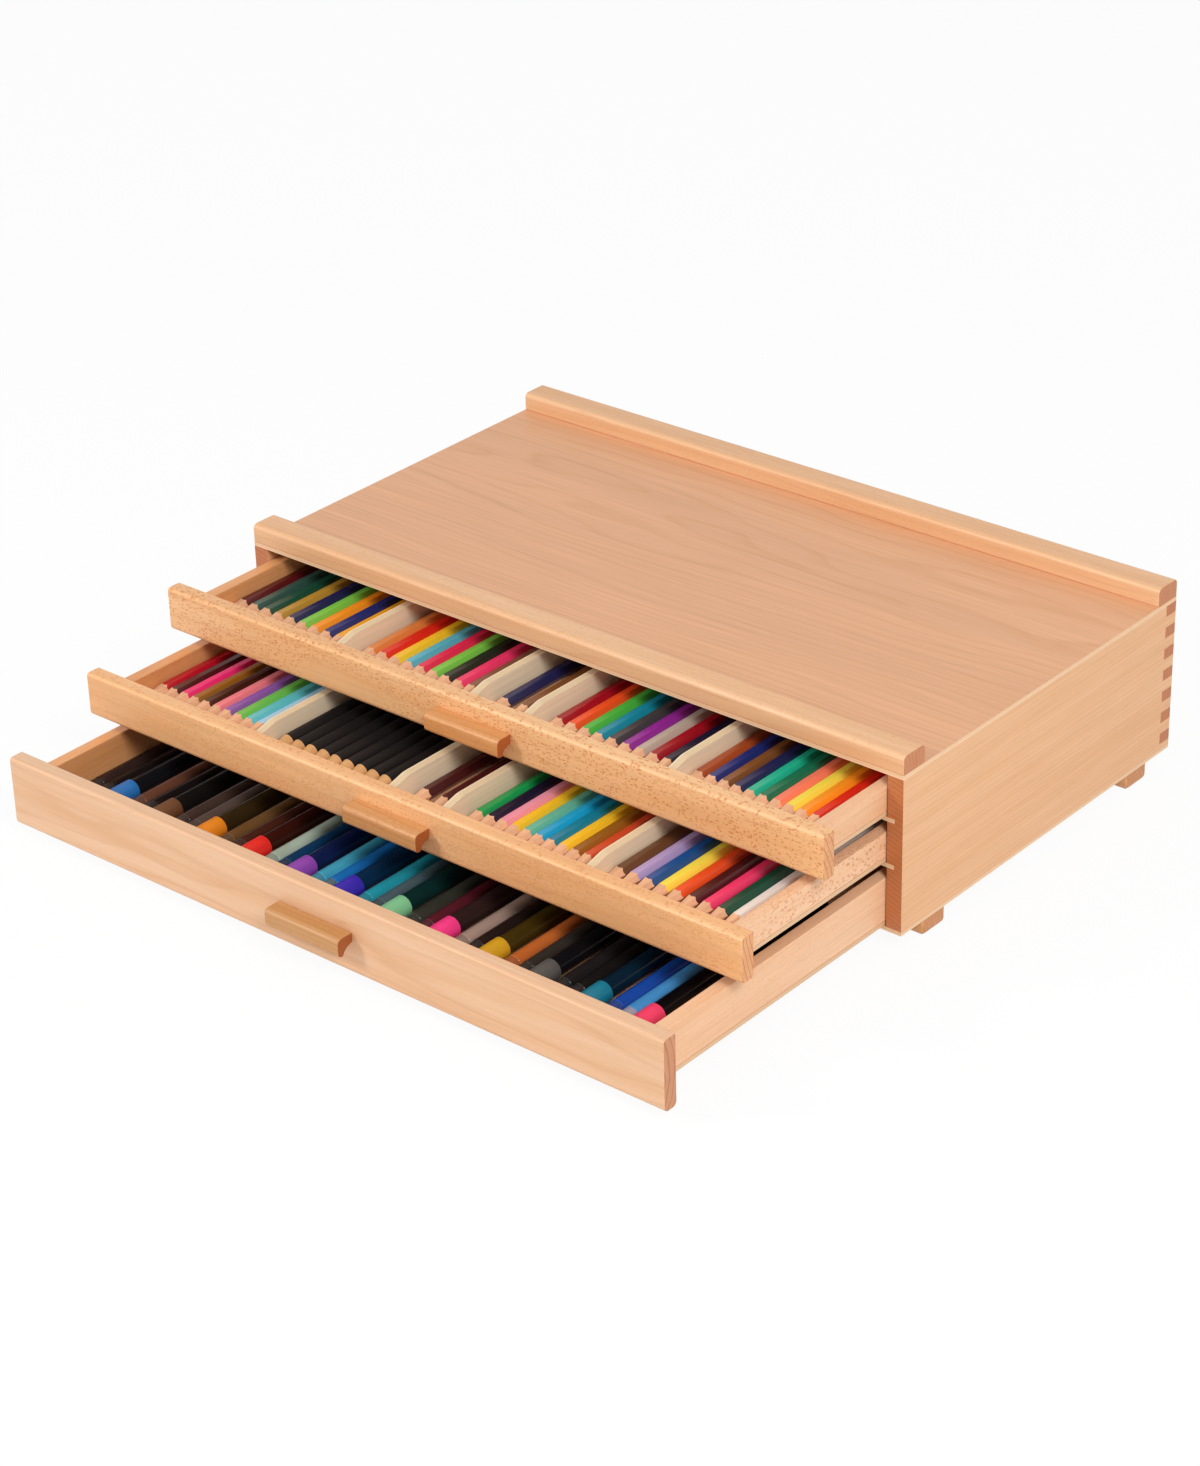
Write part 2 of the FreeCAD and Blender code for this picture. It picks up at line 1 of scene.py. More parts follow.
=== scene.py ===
"""Dresses the pencil drawer box: eased beech boards, lacquered pencils, felt pens and a plain studio."""

import math
import random

import bmesh
import bpy
from bpy.props import FloatProperty, FloatVectorProperty, IntProperty, PointerProperty
from mathutils import Matrix, Vector


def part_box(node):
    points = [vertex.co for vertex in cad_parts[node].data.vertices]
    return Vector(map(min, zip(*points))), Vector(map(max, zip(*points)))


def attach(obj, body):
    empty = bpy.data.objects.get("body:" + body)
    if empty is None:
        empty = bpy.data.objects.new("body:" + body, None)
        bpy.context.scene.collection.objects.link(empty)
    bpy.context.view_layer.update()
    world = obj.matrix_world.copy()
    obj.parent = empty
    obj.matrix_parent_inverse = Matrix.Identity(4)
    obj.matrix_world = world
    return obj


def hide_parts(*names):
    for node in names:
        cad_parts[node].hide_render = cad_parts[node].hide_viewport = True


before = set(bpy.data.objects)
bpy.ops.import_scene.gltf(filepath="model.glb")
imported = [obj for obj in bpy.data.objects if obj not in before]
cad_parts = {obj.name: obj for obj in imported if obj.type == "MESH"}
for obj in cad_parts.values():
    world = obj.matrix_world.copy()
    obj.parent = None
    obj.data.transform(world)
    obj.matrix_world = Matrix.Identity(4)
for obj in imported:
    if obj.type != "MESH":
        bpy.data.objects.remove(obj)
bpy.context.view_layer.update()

bl_info = {
    "name": "Pencil Drawer Box",
    "version": (1, 0, 0),
    "blender": (4, 5, 0),
    "location": "3D View > Sidebar > Drawer Box",
    "description": "Boards, pencils, pens and studio for a beech pencil drawer box",
    "category": "Object",
}

MM = 0.001
BOX_MIDDLE = Vector((0, 0, 0.05))
DRAWERS = ("top", "middle", "bottom")
SLIM_DRAWERS = ("top", "middle")


# ---------- settings
def linear(code):
    """An sRGB hex colour as linear red, green and blue."""
    channels = [int(code[at:at + 2], 16) / 255 for at in (1, 3, 5)]
    return tuple(c / 12.92 if c <= 0.04045 else ((c + 0.055) / 1.055) ** 2.4 for c in channels)


def colour(name, code, description):
    return FloatVectorProperty(name=name, description=description, subtype="COLOR", size=3,
                               min=0, max=1, default=linear(code))


def length(name, size_mm, description):
    return FloatProperty(name=name, description=description, unit="LENGTH", subtype="DISTANCE",
                         precision=5, min=0, default=size_mm * MM)


def degrees(name, turn, description):
    return FloatProperty(name=name, description=description, unit="ROTATION", subtype="ANGLE",
                         default=math.radians(turn))


class BeechSettings(bpy.types.PropertyGroup):
    """Beech boards, plywood and their edges."""

    face: colour("Face", "#E6B389", "Planed pale beech under clear lacquer")
    pale: colour("Pale growth", "#EDC09A", "Paler early growth in the pale boards")
    # On the left walls this golden beech is partly painted light: warm bounce light in the shade of their
    # inner faces.
    golden: colour("Golden face", "#E9B079", "Planed beech of the slim fronts, the pulls and the left walls")
    golden_pale: colour("Golden pale growth", "#F1BF8B", "Paler early growth in those golden boards")
    ring: colour("Ring", "#C98A55", "Late growth at the end of each year's ring")
    fleck: colour("Fleck", "#C4702C", "Rays that reach the surface as flecks")
    end_grain: colour("End grain", "#B4602C", "Board ends, which soak up lacquer and go darker")
    veneer: colour("Veneer", "#DFA67C", "Rotary cut face veneer of the panels")
    ply_edge: colour("Plywood edge", "#F3D3AE", "Sawn edge of the plywood")
    ply_core: colour("Plywood core", "#E6BE96", "Middle layer of the plywood")
    # Partly painted shade: darker than the case plywood's edge, to match the drawer bottoms' edges where they
    # lie under the drawer sides.
    drawer_ply_edge: colour("Drawer plywood edge", "#D9B48C", "Unsanded edge of the drawer bottoms")
    birch: colour("Birch", "#EBD5B6", "Unlacquered birch plywood of the dividers")
    # The divider's top is partly painted light: its left outer layer is a painted highlight and its inner
    # layers are painted shade.
    birch_edge_and_highlight: colour("Birch outer layer", "#E8D2B0", "Outer layer where a divider's edge shows it")
    birch_core_and_shade: colour("Birch inner layers", "#DCC29C", "Inner layers where a divider's edge shows them")
    ring_width: length("Ring width", 2.4, "One year's growth")
    ray_height: length("Ray height", 1.9, "Rays along the grain")
    wander: length("Grain wander", 7, "How far the rings stray from straight along a board")
    board_ease: length("Eased board edge", 0.45, "Sanded edge of the solid boards")
    ply_ease: length("Eased plywood edge", 0.12, "Sanded edge of the plywood")
    strip_round: length("Strip rounding", 2.6, "Rounded upper edges of the two strips")
    front_round: length("Front's upper rounding", 1.8, "Rounded upper front edge of a drawer front")
    front_under: length("Front's lower rounding", 2.5, "Rounded lower edges of a drawer front")
    pull_root: length("Pull root", 5, "Height of a pull where it is glued on, above its hollow")
    pull_cove: length("Pull cove", 6.5, "Radius of the hollow behind a pull's lip")
    pull_round: length("Pull rounding", 2.4, "Rounded front edges of a pull")
    bevel_length: length("Divider bevel", 20, "Length of the bevel at a divider's front end")
    bevel_drop: length("Divider drop", 5, "How far that bevel falls")
    bevel_turn: length("Divider turn", 14, "Radius where a divider's bevel meets its straight top")


class PencilSettings(bpy.types.PropertyGroup):
    """Coloured and charcoal pencils."""

    point: length("Sharpened length", 22, "From the tip to the painted corners")
    charcoal_point: length("Charcoal sharpened length", 18.5, "From a charcoal pencil's tip to its paint")
    bare_core: length("Bare core", 6, "Coloured core that shows at the tip")
    charcoal_core: length("Charcoal bare core", 8, "Core that shows at the tip of a charcoal pencil")
    tip: length("Tip", 0.35, "Radius of a coloured pencil's tip")
    charcoal_tip: length("Charcoal tip", 0.4, "Radius of a charcoal pencil's tip")
    dipped_end: length("Dipped end", 0.4, "Rounded edge of the paint at a pencil's rear end")
    scallop: length("Scallop", 0.9, "How much further forward the paint reaches along the flats")
    cedar: colour("Casing wood", "#EBB48C", "Cut face of a sharpened casing")
    charcoal_cedar: colour("Charcoal casing", "#D9A36C", "Cut face of a charcoal pencil's casing")
    charcoal: colour("Charcoal paint", "#181413", "Matt paint of the charcoal pencils")
    stagger: length("Stagger", 0.5, "How unevenly the pencils lie")


class PenSettings(bpy.types.PropertyGroup):
    """Felt pens and slim pens."""

    rib_depth: length("Rib depth", 0.16, "Grip ribs moulded into the caps")
    ribs: IntProperty(name="Ribs", description="Ribs round a cap", default=26, min=6, max=60)
    grip: length("Grip", 27, "Front grip section of a slim pen")
    cap_step: length("Cap step", 0.5, "Rounded edge at a cap's closed end")
    cap_rim: length("Cap rim", 5, "Plain rim at a cap's open end, behind the ribs")
    cap_wall: length("Cap wall", 1.05, "Thickness of a cap's rim")
    plug: length("Plug", 8, "Plug that closes a felt pen's barrel, a little wider than the barrel")
    nose: length("Nose", 6, "Tapered nose of a slim pen")


class StudioSettings(bpy.types.PropertyGroup):
    """Floor, lights and camera."""

    azimuth: degrees("Azimuth", 40.64, "Camera's turn to the right of the front")
    elevation: degrees("Elevation", 28.36, "Camera's height angle")
    roll: degrees("Roll", 1.60, "Camera's tilt about its own line of sight")
    camera: FloatVectorProperty(name="Camera", description="Where the camera stands", subtype="XYZ",
                                unit="LENGTH", default=(1.0015, -1.1598, 0.8656))
    focal: FloatProperty(name="Focal length", description="On a 36 mm wide frame, in millimetres",
                         default=108.47, min=20, max=300)
    floor: colour("Floor", "#F7F7F5", "Pale studio floor")
    key_power: FloatProperty(name="Key light", description="Watts of the light at the front left",
                             default=18)
    side_power: FloatProperty(name="Side light", description="Watts of the light high on the right",
                              default=23.5)
    sky: FloatProperty(name="Sky", description="Strength of the even light all round", default=0.46)


# ---------- materials
# Settings of a Mix node for colours, whose sockets are then the share and the two colours.
MIX = {"data_type": "RGBA", "clamp_result": True, "sockets": (0, 6, 7), "out": 2}
MULTIPLY = {**MIX, "blend_type": "MULTIPLY"}

# Noise lies mostly in the first range. Broad streaks go from one tone to the other in the second.
NOISE, STREAK = (0.3, 0.7), (0.36, 0.64)
# Radius, in mm, of the circle on which the place round the tree's heart is measured.
HEART_CIRCLE = 90
# Good and bad summers shift the rings by up to this many years' growth.
UNEVEN_YEARS = 1.6
# Beech rays are about 0.2 mm thick. They are drawn thicker, in mm, because finer ones wouldn't show.
RAY_THICKNESS, RAY_DEPTH = 0.7, 3.2
# Fibres and pores are about 0.1 mm wide. Their length and width, in mm, are coarser here, so that they show.
FIBRE, PORE = (34, 0.9, 0.9), (60, 1.2, 1.2)
# Rings on a cut casing are about 0.2 mm apart. They are drawn this far apart, in mm, so that they show.
CASING_RING = 0.5


def add(tree, kind, inputs=(), out=0, sockets=range(9), stops=(), **settings):
    """Add a node and return one of its outputs; each input takes a value or another node's output."""
    made = tree.nodes.new("ShaderNode" + kind)
    for name, setting in settings.items():
        setattr(made, name, setting)
    for index, (at, tone) in enumerate(stops):
        ramp = made.color_ramp.elements
        stop = ramp[index] if index < 2 else ramp.new(at)
        stop.position = at
        stop.color = (*tone, 1)
    for socket, given in inputs.items() if isinstance(inputs, dict) else zip(sockets, inputs):
        if isinstance(given, bpy.types.NodeSocket):
            tree.links.new(given, made.inputs[socket])
        else:
            colour_socket = made.inputs[socket].type == "RGBA"
            made.inputs[socket].default_value = (*given, 1) if colour_socket else given
    return made.outputs[out] if made.outputs else None


def bare_material(name):
    """A material with an empty node tree."""
    material = bpy.data.materials.new(name)
    material.use_nodes = True
    material.node_tree.nodes.clear()
    return material, material.node_tree


def stretched_noise(tree, place, sizes_mm, detail=2.0, out="Fac"):
    """Noise whose grain has the given size in mm along each axis."""
    scaled = add(tree, "VectorMath", (place, [1 / size for size in sizes_mm]), operation="MULTIPLY")
    return add(tree, "TexNoise", {"Vector": scaled, "Scale": 1.0, "Detail": detail}, out)


def piece_mm(tree):
    """The surface's place on its piece, in mm."""
    place = add(tree, "TexCoord", out="Object")
    return add(tree, "VectorMath", (place, (1 / MM, 1 / MM, 1 / MM)), operation="MULTIPLY")


def year_rings(tree, wood, wander):
    """How late in its year the wood grew, and its place by grain, ray and ring, both from the log."""
    place = add(tree, "Attribute", out="Vector", attribute_name="log_mm")
    drift = stretched_noise(tree, place, (230, 46, 46), out="Color")
    centred = add(tree, "VectorMath", (drift, (0.5, 0.5, 0.5)), operation="SUBTRACT")
    reach = 2 * wander / MM
    bent = add(tree, "VectorMath", (centred, (0, reach, reach), place), operation="MULTIPLY_ADD")
    along, wide, deep = add(tree, "SeparateXYZ", (bent,)).node.outputs
    across = add(tree, "CombineXYZ", (0, wide, deep))
    radius = add(tree, "VectorMath", (across,), "Value", operation="LENGTH")
    turn = add(tree, "Math", (wide, deep), operation="ARCTAN2")
    round_heart = add(tree, "Math", (turn, HEART_CIRCLE), operation="MULTIPLY")
    polar = add(tree, "CombineXYZ", (along, round_heart, radius))
    years = add(tree, "Math", (radius, MM / wood.ring_width), operation="MULTIPLY")
    uneven = stretched_noise(tree, polar, (500, 60, 9))
    aged = add(tree, "Math", (uneven, UNEVEN_YEARS, years), operation="MULTIPLY_ADD")
    late = add(tree, "Math", (aged,), operation="FRACT")
    early_wood, summer, late_wood = (0, 0, 0), (0.06, 0.06, 0.06), (1, 1, 1)
    ring = add(tree, "ValToRGB", (late,), stops=(
        (0.0, early_wood), (0.65, summer), (0.92, late_wood), (1.0, early_wood)))
    return ring, polar


def ray_flecks(tree, polar, wood):
    """Rays: thin upright sheets that run out from the heart and cut the surface as flecks."""
    sizes = (wood.ray_height / MM, RAY_THICKNESS, RAY_DEPTH)
    sway = stretched_noise(tree, polar, (7, 7, 7), 0.0, "Color")
    bent = add(tree, "VectorMath", (sway, (5, 0, 3), polar), operation="MULTIPLY_ADD")
    scaled = add(tree, "VectorMath", (bent, [1 / size for size in sizes]), operation="MULTIPLY")
    cells = add(tree, "TexVoronoi", {"Vector": scaled, "Scale": 1.0})
    body = add(tree, "MapRange", (cells, 0.5, 0.26))
    draw = add(tree, "SeparateColor", (cells.node.outputs["Color"],))
    chosen = add(tree, "MapRange", (draw, 0.3, 0.55))
    patch = add(tree, "MapRange", (stretched_noise(tree, polar, (70, 30, 14)), 0.3, 0.5))
    fleck = add(tree, "Math", (body, chosen), operation="MULTIPLY")
    return add(tree, "Math", (fleck, patch), operation="MULTIPLY")


def surface(tree, tone, rough, specular, relief, depth_mm, strength, **coat):
    """A material's outer surface: its colour, how dull it is, and a very low relief."""
    bump = add(tree, "Bump", {"Height": relief, "Strength": strength, "Distance": depth_mm * MM})
    shader = add(tree, "BsdfPrincipled", {"Base Color": tone, "Roughness": rough, "Normal": bump,
                                          "Specular IOR Level": specular, **coat})
    add(tree, "OutputMaterial", (shader,))


def lacquered(tree, tone, fibre, relief, rough, specular):
    """Clear satin lacquer: a soft sheen that the fibres break up."""
    sheen = add(tree, "MapRange", (fibre, *NOISE, rough + 0.06, rough - 0.04))
    surface(tree, tone, sheen, specular, relief, 0.05, 0.3)


def solid_beech(name, wood, golden=False, tint="#FFFFFF", ring_share=0.3, fleck_share=0.35, pale_share=0.8,
                end_share=0.7, end_rings=0.7, wander=7 * MM):
    """Steamed beech, planed and given clear satin lacquer: close rings, fine fibre and brown ray flecks."""
    material, tree = bare_material(name)
    face, pale = (wood.golden, wood.golden_pale) if golden else (wood.face, wood.pale)
    ring, polar = year_rings(tree, wood, wander)
    streak = stretched_noise(tree, polar, (190, 15, 7))
    streaked = add(tree, "MapRange", (streak, *STREAK, 0.0, pale_share))
    base = add(tree, "Mix", (streaked, face, pale), **MIX)
    facing = add(tree, "Attribute", out="Fac", attribute_name="end_grain")
    end = add(tree, "MapRange", (facing, 0.55, 0.95))
    soak = add(tree, "Math", (end, end_share), operation="MULTIPLY")
    soaked = add(tree, "Mix", (soak, base, wood.end_grain), **MIX)
    line = add(tree, "Mix", (end, wood.ring, wood.end_grain), **MIX)
    dark = add(tree, "Math", (end, end_rings, ring_share), operation="MULTIPLY_ADD")
    late = add(tree, "Math", (ring, dark), operation="MULTIPLY")
    grown = add(tree, "Mix", (late, soaked, line), **MIX)
    fibre = stretched_noise(tree, polar, FIBRE, 3.0)
    fine = add(tree, "MapRange", (fibre, *NOISE, 0.94, 1.03))
    woven = add(tree, "Mix", (1, grown, fine), **MULTIPLY)
    flecks = ray_flecks(tree, polar, wood)
    faint = add(tree, "Math", (flecks, fleck_share), operation="MULTIPLY")
    flecked = add(tree, "Mix", (faint, woven, wood.fleck), **MIX)
    tinted = add(tree, "Mix", (1, flecked, linear(tint)), **MULTIPLY)
    relief = add(tree, "Math", (flecks, -0.1, fibre), operation="MULTIPLY_ADD")
    lacquered(tree, tinted, fibre, relief, 0.42, 0.5)
    return material


def plywood(name, wood, face, edge, core, thickness, ring_share=0.32, rough=0.4, specular=0.5):
    """Three-layer plywood: peeled veneer with fine drawn-out pores, and a core that shows along the edges."""
    material, tree = bare_material(name)
    ring, polar = year_rings(tree, wood, wood.wander)
    streak = stretched_noise(tree, polar, (240, 30, 9))
    wash = add(tree, "MapRange", (streak, *STREAK, 0.96, 1.03))
    washed = add(tree, "Mix", (1, face, wash), **MULTIPLY)
    faint = add(tree, "Math", (ring, ring_share), operation="MULTIPLY")
    figured = add(tree, "Mix", (faint, washed, wood.ring), **MIX)
    flat = add(tree, "Attribute", out="Vector", attribute_name="log_mm")
    fibre = stretched_noise(tree, flat, PORE, 3.0)
    fine = add(tree, "MapRange", (fibre, *NOISE, 0.93, 1.05))
    veneer = add(tree, "Mix", (1, figured, fine), **MULTIPLY)
    place = add(tree, "Attribute", out="Vector", attribute_name="ply_mm")
    depth = add(tree, "SeparateXYZ", (place,), "Z")
    level = add(tree, "Math", (depth, MM / thickness), operation="MULTIPLY")
    # For the dividers these layer colours also paint light: a highlight band on one side of the top and shade
    # across the rest.
    layers = add(tree, "ValToRGB", (level,), stops=((0.0, edge), (0.2, edge), (0.24, core)))
    facing = add(tree, "Attribute", out="Fac", attribute_name="ply_edge")
    sawn = add(tree, "MapRange", (facing, 0.5, 0.9))
    whole = add(tree, "Mix", (sawn, veneer, layers), **MIX)
    lacquered(tree, whole, fibre, fibre, rough, specular)
    return material


def coloured_coat(name, rough, specular, mottle_mm, spread=0.12, coat=0.0):
    """A coat whose colour is painted on the mesh, with the slight unevenness of a dipped or moulded skin."""
    material, tree = bare_material(name)
    paint = add(tree, "Attribute", attribute_name="paint")
    mottle = stretched_noise(tree, piece_mm(tree), mottle_mm, 3.0)
    shade = add(tree, "MapRange", (mottle, *NOISE, 1 - spread, 1.0))
    tone = add(tree, "Mix", (1, paint, shade), **MULTIPLY)
    sheen = add(tree, "MapRange", (mottle, *NOISE, rough + 0.07, rough - 0.05))
    surface(tree, tone, sheen, specular, mottle, 0.03, 0.2, **{"Coat Weight": coat, "Coat Roughness": 0.2})
    return material


def cut_casing(name, tone):
    """Casing wood as the sharpener leaves it: matt, with fine rings that run to the tip."""
    material, tree = bare_material(name)
    place = piece_mm(tree)
    grain = stretched_noise(tree, place, (CASING_RING, 9.0, CASING_RING), 3.0)
    darker = add(tree, "MapRange", (grain, *NOISE, 0.88, 1.05))
    fine = add(tree, "Mix", (1, tone, darker), **MULTIPLY)
    board = stretched_noise(tree, place, (5.0, 60.0, 5.0), 1.0)
    shift = add(tree, "MapRange", (board, 0.35, 0.65, 0.92, 1.04))
    varied = add(tree, "Mix", (1, fine, shift), **MULTIPLY)
    surface(tree, varied, 0.72, 0.3, grain, 0.06, 0.5)
    return material


# ---------- boards
def rounded(points, radii, steps=5):
    """An outline with its corners turned into arcs; radii goes by the corner's place in the outline."""
    outline = []
    for index, corner in enumerate(points):
        radius = radii.get(index, 0)
        here = Vector(corner)
        if not radius:
            outline.append(here)
            continue
        before = (Vector(points[index - 1]) - here).normalized()
        after = (Vector(points[(index + 1) % len(points)]) - here).normalized()
        half = before.angle(after) / 2
        centre = here + (before + after).normalized() * radius / math.sin(half)
        start = here + before * radius / math.tan(half) - centre
        end = here + after * radius / math.tan(half) - centre
        outline += [centre + radius * start.slerp(end, step / steps) for step in range(steps + 1)]
    return outline


def section(low, high):
    """A plain board's corners in Y and Z, from its lower front edge round by the back."""
    return [(low.y, low.z), (high.y, low.z), (high.y, high.z), (low.y, high.z)]


def sawn_board(node):
    """A board as it comes from the saw, with its flat faces whole and its grooves and fingers cut."""
    mesh = bmesh.new()
    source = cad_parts[node].data
    points = [mesh.verts.new(vertex.co) for vertex in source.vertices]
    for face in source.polygons:
        mesh.faces.new([points[index] for index in face.vertices])
    bmesh.ops.remove_doubles(mesh, verts=mesh.verts, dist=0.001 * MM)
    bmesh.ops.dissolve_limit(mesh, angle_limit=math.radians(1), verts=mesh.verts, edges=mesh.edges)
    return mesh


def moulded_board(outline, low, high):
    """A board whose outline, in Y and Z, runs straight from one X to another."""
    mesh = bmesh.new()
    rings = [[mesh.verts.new((x, y, z)) for y, z in outline] for x in (low, high)]
    mesh.faces.new(rings[0])
    mesh.faces.new(rings[1][::-1])
    for index in range(len(outline)):
        after = (index + 1) % len(outline)
        mesh.faces.new((rings[0][index], rings[1][index], rings[1][after], rings[0][after]))
    bmesh.ops.recalc_face_normals(mesh, faces=mesh.faces)
    return mesh


def ease_edges(mesh, ease):
    """Take the sharpness off every edge, as a pass with sandpaper does."""
    sharp = [edge for edge in mesh.edges if edge.calc_face_angle(0) > math.radians(40)]
    bmesh.ops.bevel(mesh, geom=sharp, offset=ease, offset_type="OFFSET", segments=2, profile=0.5,
                    affect="EDGES", clamp_overlap=True)


def finish_mesh(mesh, name, materials, sharp_angle=50):
    """Turn a bmesh into an object shaded smooth, with flat faces kept flat."""
    data = bpy.data.meshes.new(name)
    for edge in mesh.edges:
        edge.smooth = edge.calc_face_angle(0) < math.radians(sharp_angle)
    for face in mesh.faces:
        face.smooth = True
    mesh.to_mesh(data)
    mesh.free()
    piece = bpy.data.objects.new(name, data)
    bpy.context.scene.collection.objects.link(piece)
    for material in materials:
        data.materials.append(material)
    flat = piece.modifiers.new("flat faces", "WEIGHTED_NORMAL")
    flat.keep_sharp = True
    return piece


def mark_log(piece, grain, heart, low, thickness_axis):
    """Store where each point lay in its log, which faces are end grain and which are plywood edges.

    The heart is the middle of the tree, in mm across the grain from the board's lowest corner. Each board
    is cut from its own place along the log, and a few mm nearer to the heart or further from it.
    """
    data = piece.data
    order = [grain] + [axis for axis in (0, 1, 2) if axis not in (grain, thickness_axis)] + [thickness_axis]
    draw = random.Random(piece.name)
    shift = (draw.uniform(0, 4000), heart[0] + draw.uniform(-4, 4), heart[1] + draw.uniform(-3, 3))
    log = data.attributes.new("log_mm", "FLOAT_VECTOR", "POINT")
    ply = data.attributes.new("ply_mm", "FLOAT_VECTOR", "POINT")
    for index, vertex in enumerate(data.vertices):
        inside = [(vertex.co[axis] - low[axis]) / MM for axis in order]
        log.data[index].vector = [place + move for place, move in zip(inside, shift)]
        ply.data[index].vector = inside
    ends = data.attributes.new("end_grain", "FLOAT", "FACE")
    edges = data.attributes.new("ply_edge", "FLOAT", "FACE")
    for index, face in enumerate(data.polygons):
        ends.data[index].value = abs(face.normal[grain])
        edges.data[index].value = 1 - abs(face.normal[thickness_axis])


def stand_in(piece, body, node):
    """Let a piece move with its body and stand for its node, whose part is hidden."""
    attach(piece, body)
    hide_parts(node)


AXES = {"x": 0, "y": 1, "z": 2}


def board(node, body, slot, material, grain, heart, ease, outline=None):
    """Replace a CAD board with one whose edges are eased and whose grain runs the way it was sawn."""
    low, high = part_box(node)
    size = high - low
    thickness_axis = min((0, 1, 2), key=lambda index: size[index] if index != AXES[grain] else math.inf)
    mesh = moulded_board(outline, low.x, high.x) if outline else sawn_board(node)
    ease_edges(mesh, ease)
    piece = finish_mesh(mesh, f"{node}_board", [material])
    mark_log(piece, AXES[grain], heart, low, thickness_axis)
    stand_in(piece, body, node)


# ---------- operators: case
class BOX_OT_case_sides(bpy.types.Operator):
    """Case sides and back with their finger joint"""

    bl_idname = "drawer_box.case_sides"
    bl_label = "Case sides and back"

    def execute(self, context):
        wood = context.scene.box_beech
        # Sawn on the quarter: straight, close rings and hardly a fleck, with dark ends.
        material = solid_beech("steamed_beech_sides", wood, tint="#FBF6EA", ring_share=0.2, fleck_share=0.05,
                               pale_share=0.6, end_share=0.8, wander=2 * MM)
        for node, grain, heart in (("case_side_left", "y", (150, 60)), ("case_side_right", "y", (150, 60)),
                                   ("case_back", "x", (-38, 80))):
            board(node, "case", "beech_sides", material, grain, heart, wood.ply_ease)
        return {"FINISHED"}


class BOX_OT_case_panels(bpy.types.Operator):
    """Top and bottom panels and the two shelves"""

    bl_idname = "drawer_box.case_panels"
    bl_label = "Panels and shelves"

    def execute(self, context):
        wood = context.scene.box_beech
        low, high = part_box("top_panel")
        # Peeled veneer: broad, wandering figure in a plain tone, and a pale sawn edge.
        material = plywood("beech_plywood", wood, wood.veneer, wood.ply_edge, wood.ply_core, high.z - low.z)
        for node, heart in (("top_panel", (-150, 128)), ("bottom_panel", (-90, 120)),
                            ("upper_shelf", (-60, 110)), ("lower_shelf", (-120, 140))):
            board(node, "case", "beech_ply", material, "x", heart, wood.ply_ease)
        return {"FINISHED"}


class BOX_OT_strips_and_feet(bpy.types.Operator):
    """Rounded strips on the top and the four feet"""

    bl_idname = "drawer_box.strips_and_feet"
    bl_label = "Strips and feet"

    def execute(self, context):
        wood = context.scene.box_beech
        # The palest boards, with a few short flecks.
        material = solid_beech("steamed_beech_strips", wood, tint="#FBF8EE", ring_share=0.15,
                               fleck_share=0.15)
        for node, heart in (("front_strip", (60, 14)), ("rear_strip", (-70, 22))):
            low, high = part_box(node)
            outline = rounded(section(low, high), {2: wood.strip_round, 3: wood.strip_round})
            board(node, "case", "beech_strips", material, "x", heart, wood.board_ease, outline)
        # Offcuts of darker boards; their sawn ends face the sides.
        feet = solid_beech("steamed_beech_feet", wood, tint="#EFE2C6", ring_share=0.2, fleck_share=0.2,
                           end_share=0.4, end_rings=0.3)
        for end in ("front", "rear"):
            for side in ("left", "right"):
                node = f"foot_{end}_{side}"
                board(node, "case", "beech_strips", feet, "x", (50, 20), 3 * wood.board_ease)
        return {"FINISHED"}


# ---------- operators: drawers
class BOX_OT_drawer_boxes(bpy.types.Operator):
    """Drawer bottoms, side walls and rear walls"""

    bl_idname = "drawer_box.drawer_boxes"
    bl_label = "Drawer boxes"

    def execute(self, context):
        wood = context.scene.box_beech
        # Pale, plain boards; flecks show where the saw followed the rays. The left walls take a ruddier,
        # golden copy of the beech: painted warm bounce light for their inner faces, which lie in shade.
        walls = solid_beech("steamed_beech_walls", wood, ring_share=0.12, fleck_share=0.15, pale_share=1.0)
        flecked = solid_beech("steamed_beech_flecked_walls", wood, ring_share=0.12, fleck_share=0.6,
                              pale_share=1.0)
        # Painted light: this ruddier golden beech paints the warm light that bounces into the shade on the
        # left walls' inner faces.
        painted_bounce = solid_beech("steamed_beech_ruddy_walls", wood, golden=True, tint="#F1DCCA", ring_share=0.15,
                            fleck_share=0.15)
        low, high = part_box("top_drawer_bottom")
        # The drawer bottoms' edges and core take that darker colour: partly painted shade under the drawer
        # sides.
        edge = wood.drawer_ply_edge
        ply = plywood("beech_drawer_plywood", wood, wood.veneer, edge, edge, high.z - low.z)
        for drawer in DRAWERS:
            body = f"{drawer}_drawer"
            material = flecked if drawer == "middle" else walls
            board(f"{body}_bottom", body, "beech_ply", ply, "x", (-100, 130), wood.ply_ease)
            board(f"{body}_side_left", body, "beech_walls", painted_bounce, "y", (70, 16), wood.board_ease)
            board(f"{body}_side_right", body, "beech_walls", material, "y", (70, 16), wood.board_ease)
            board(f"{body}_back", body, "beech_walls", material, "x", (60, 25), wood.board_ease)
        return {"FINISHED"}


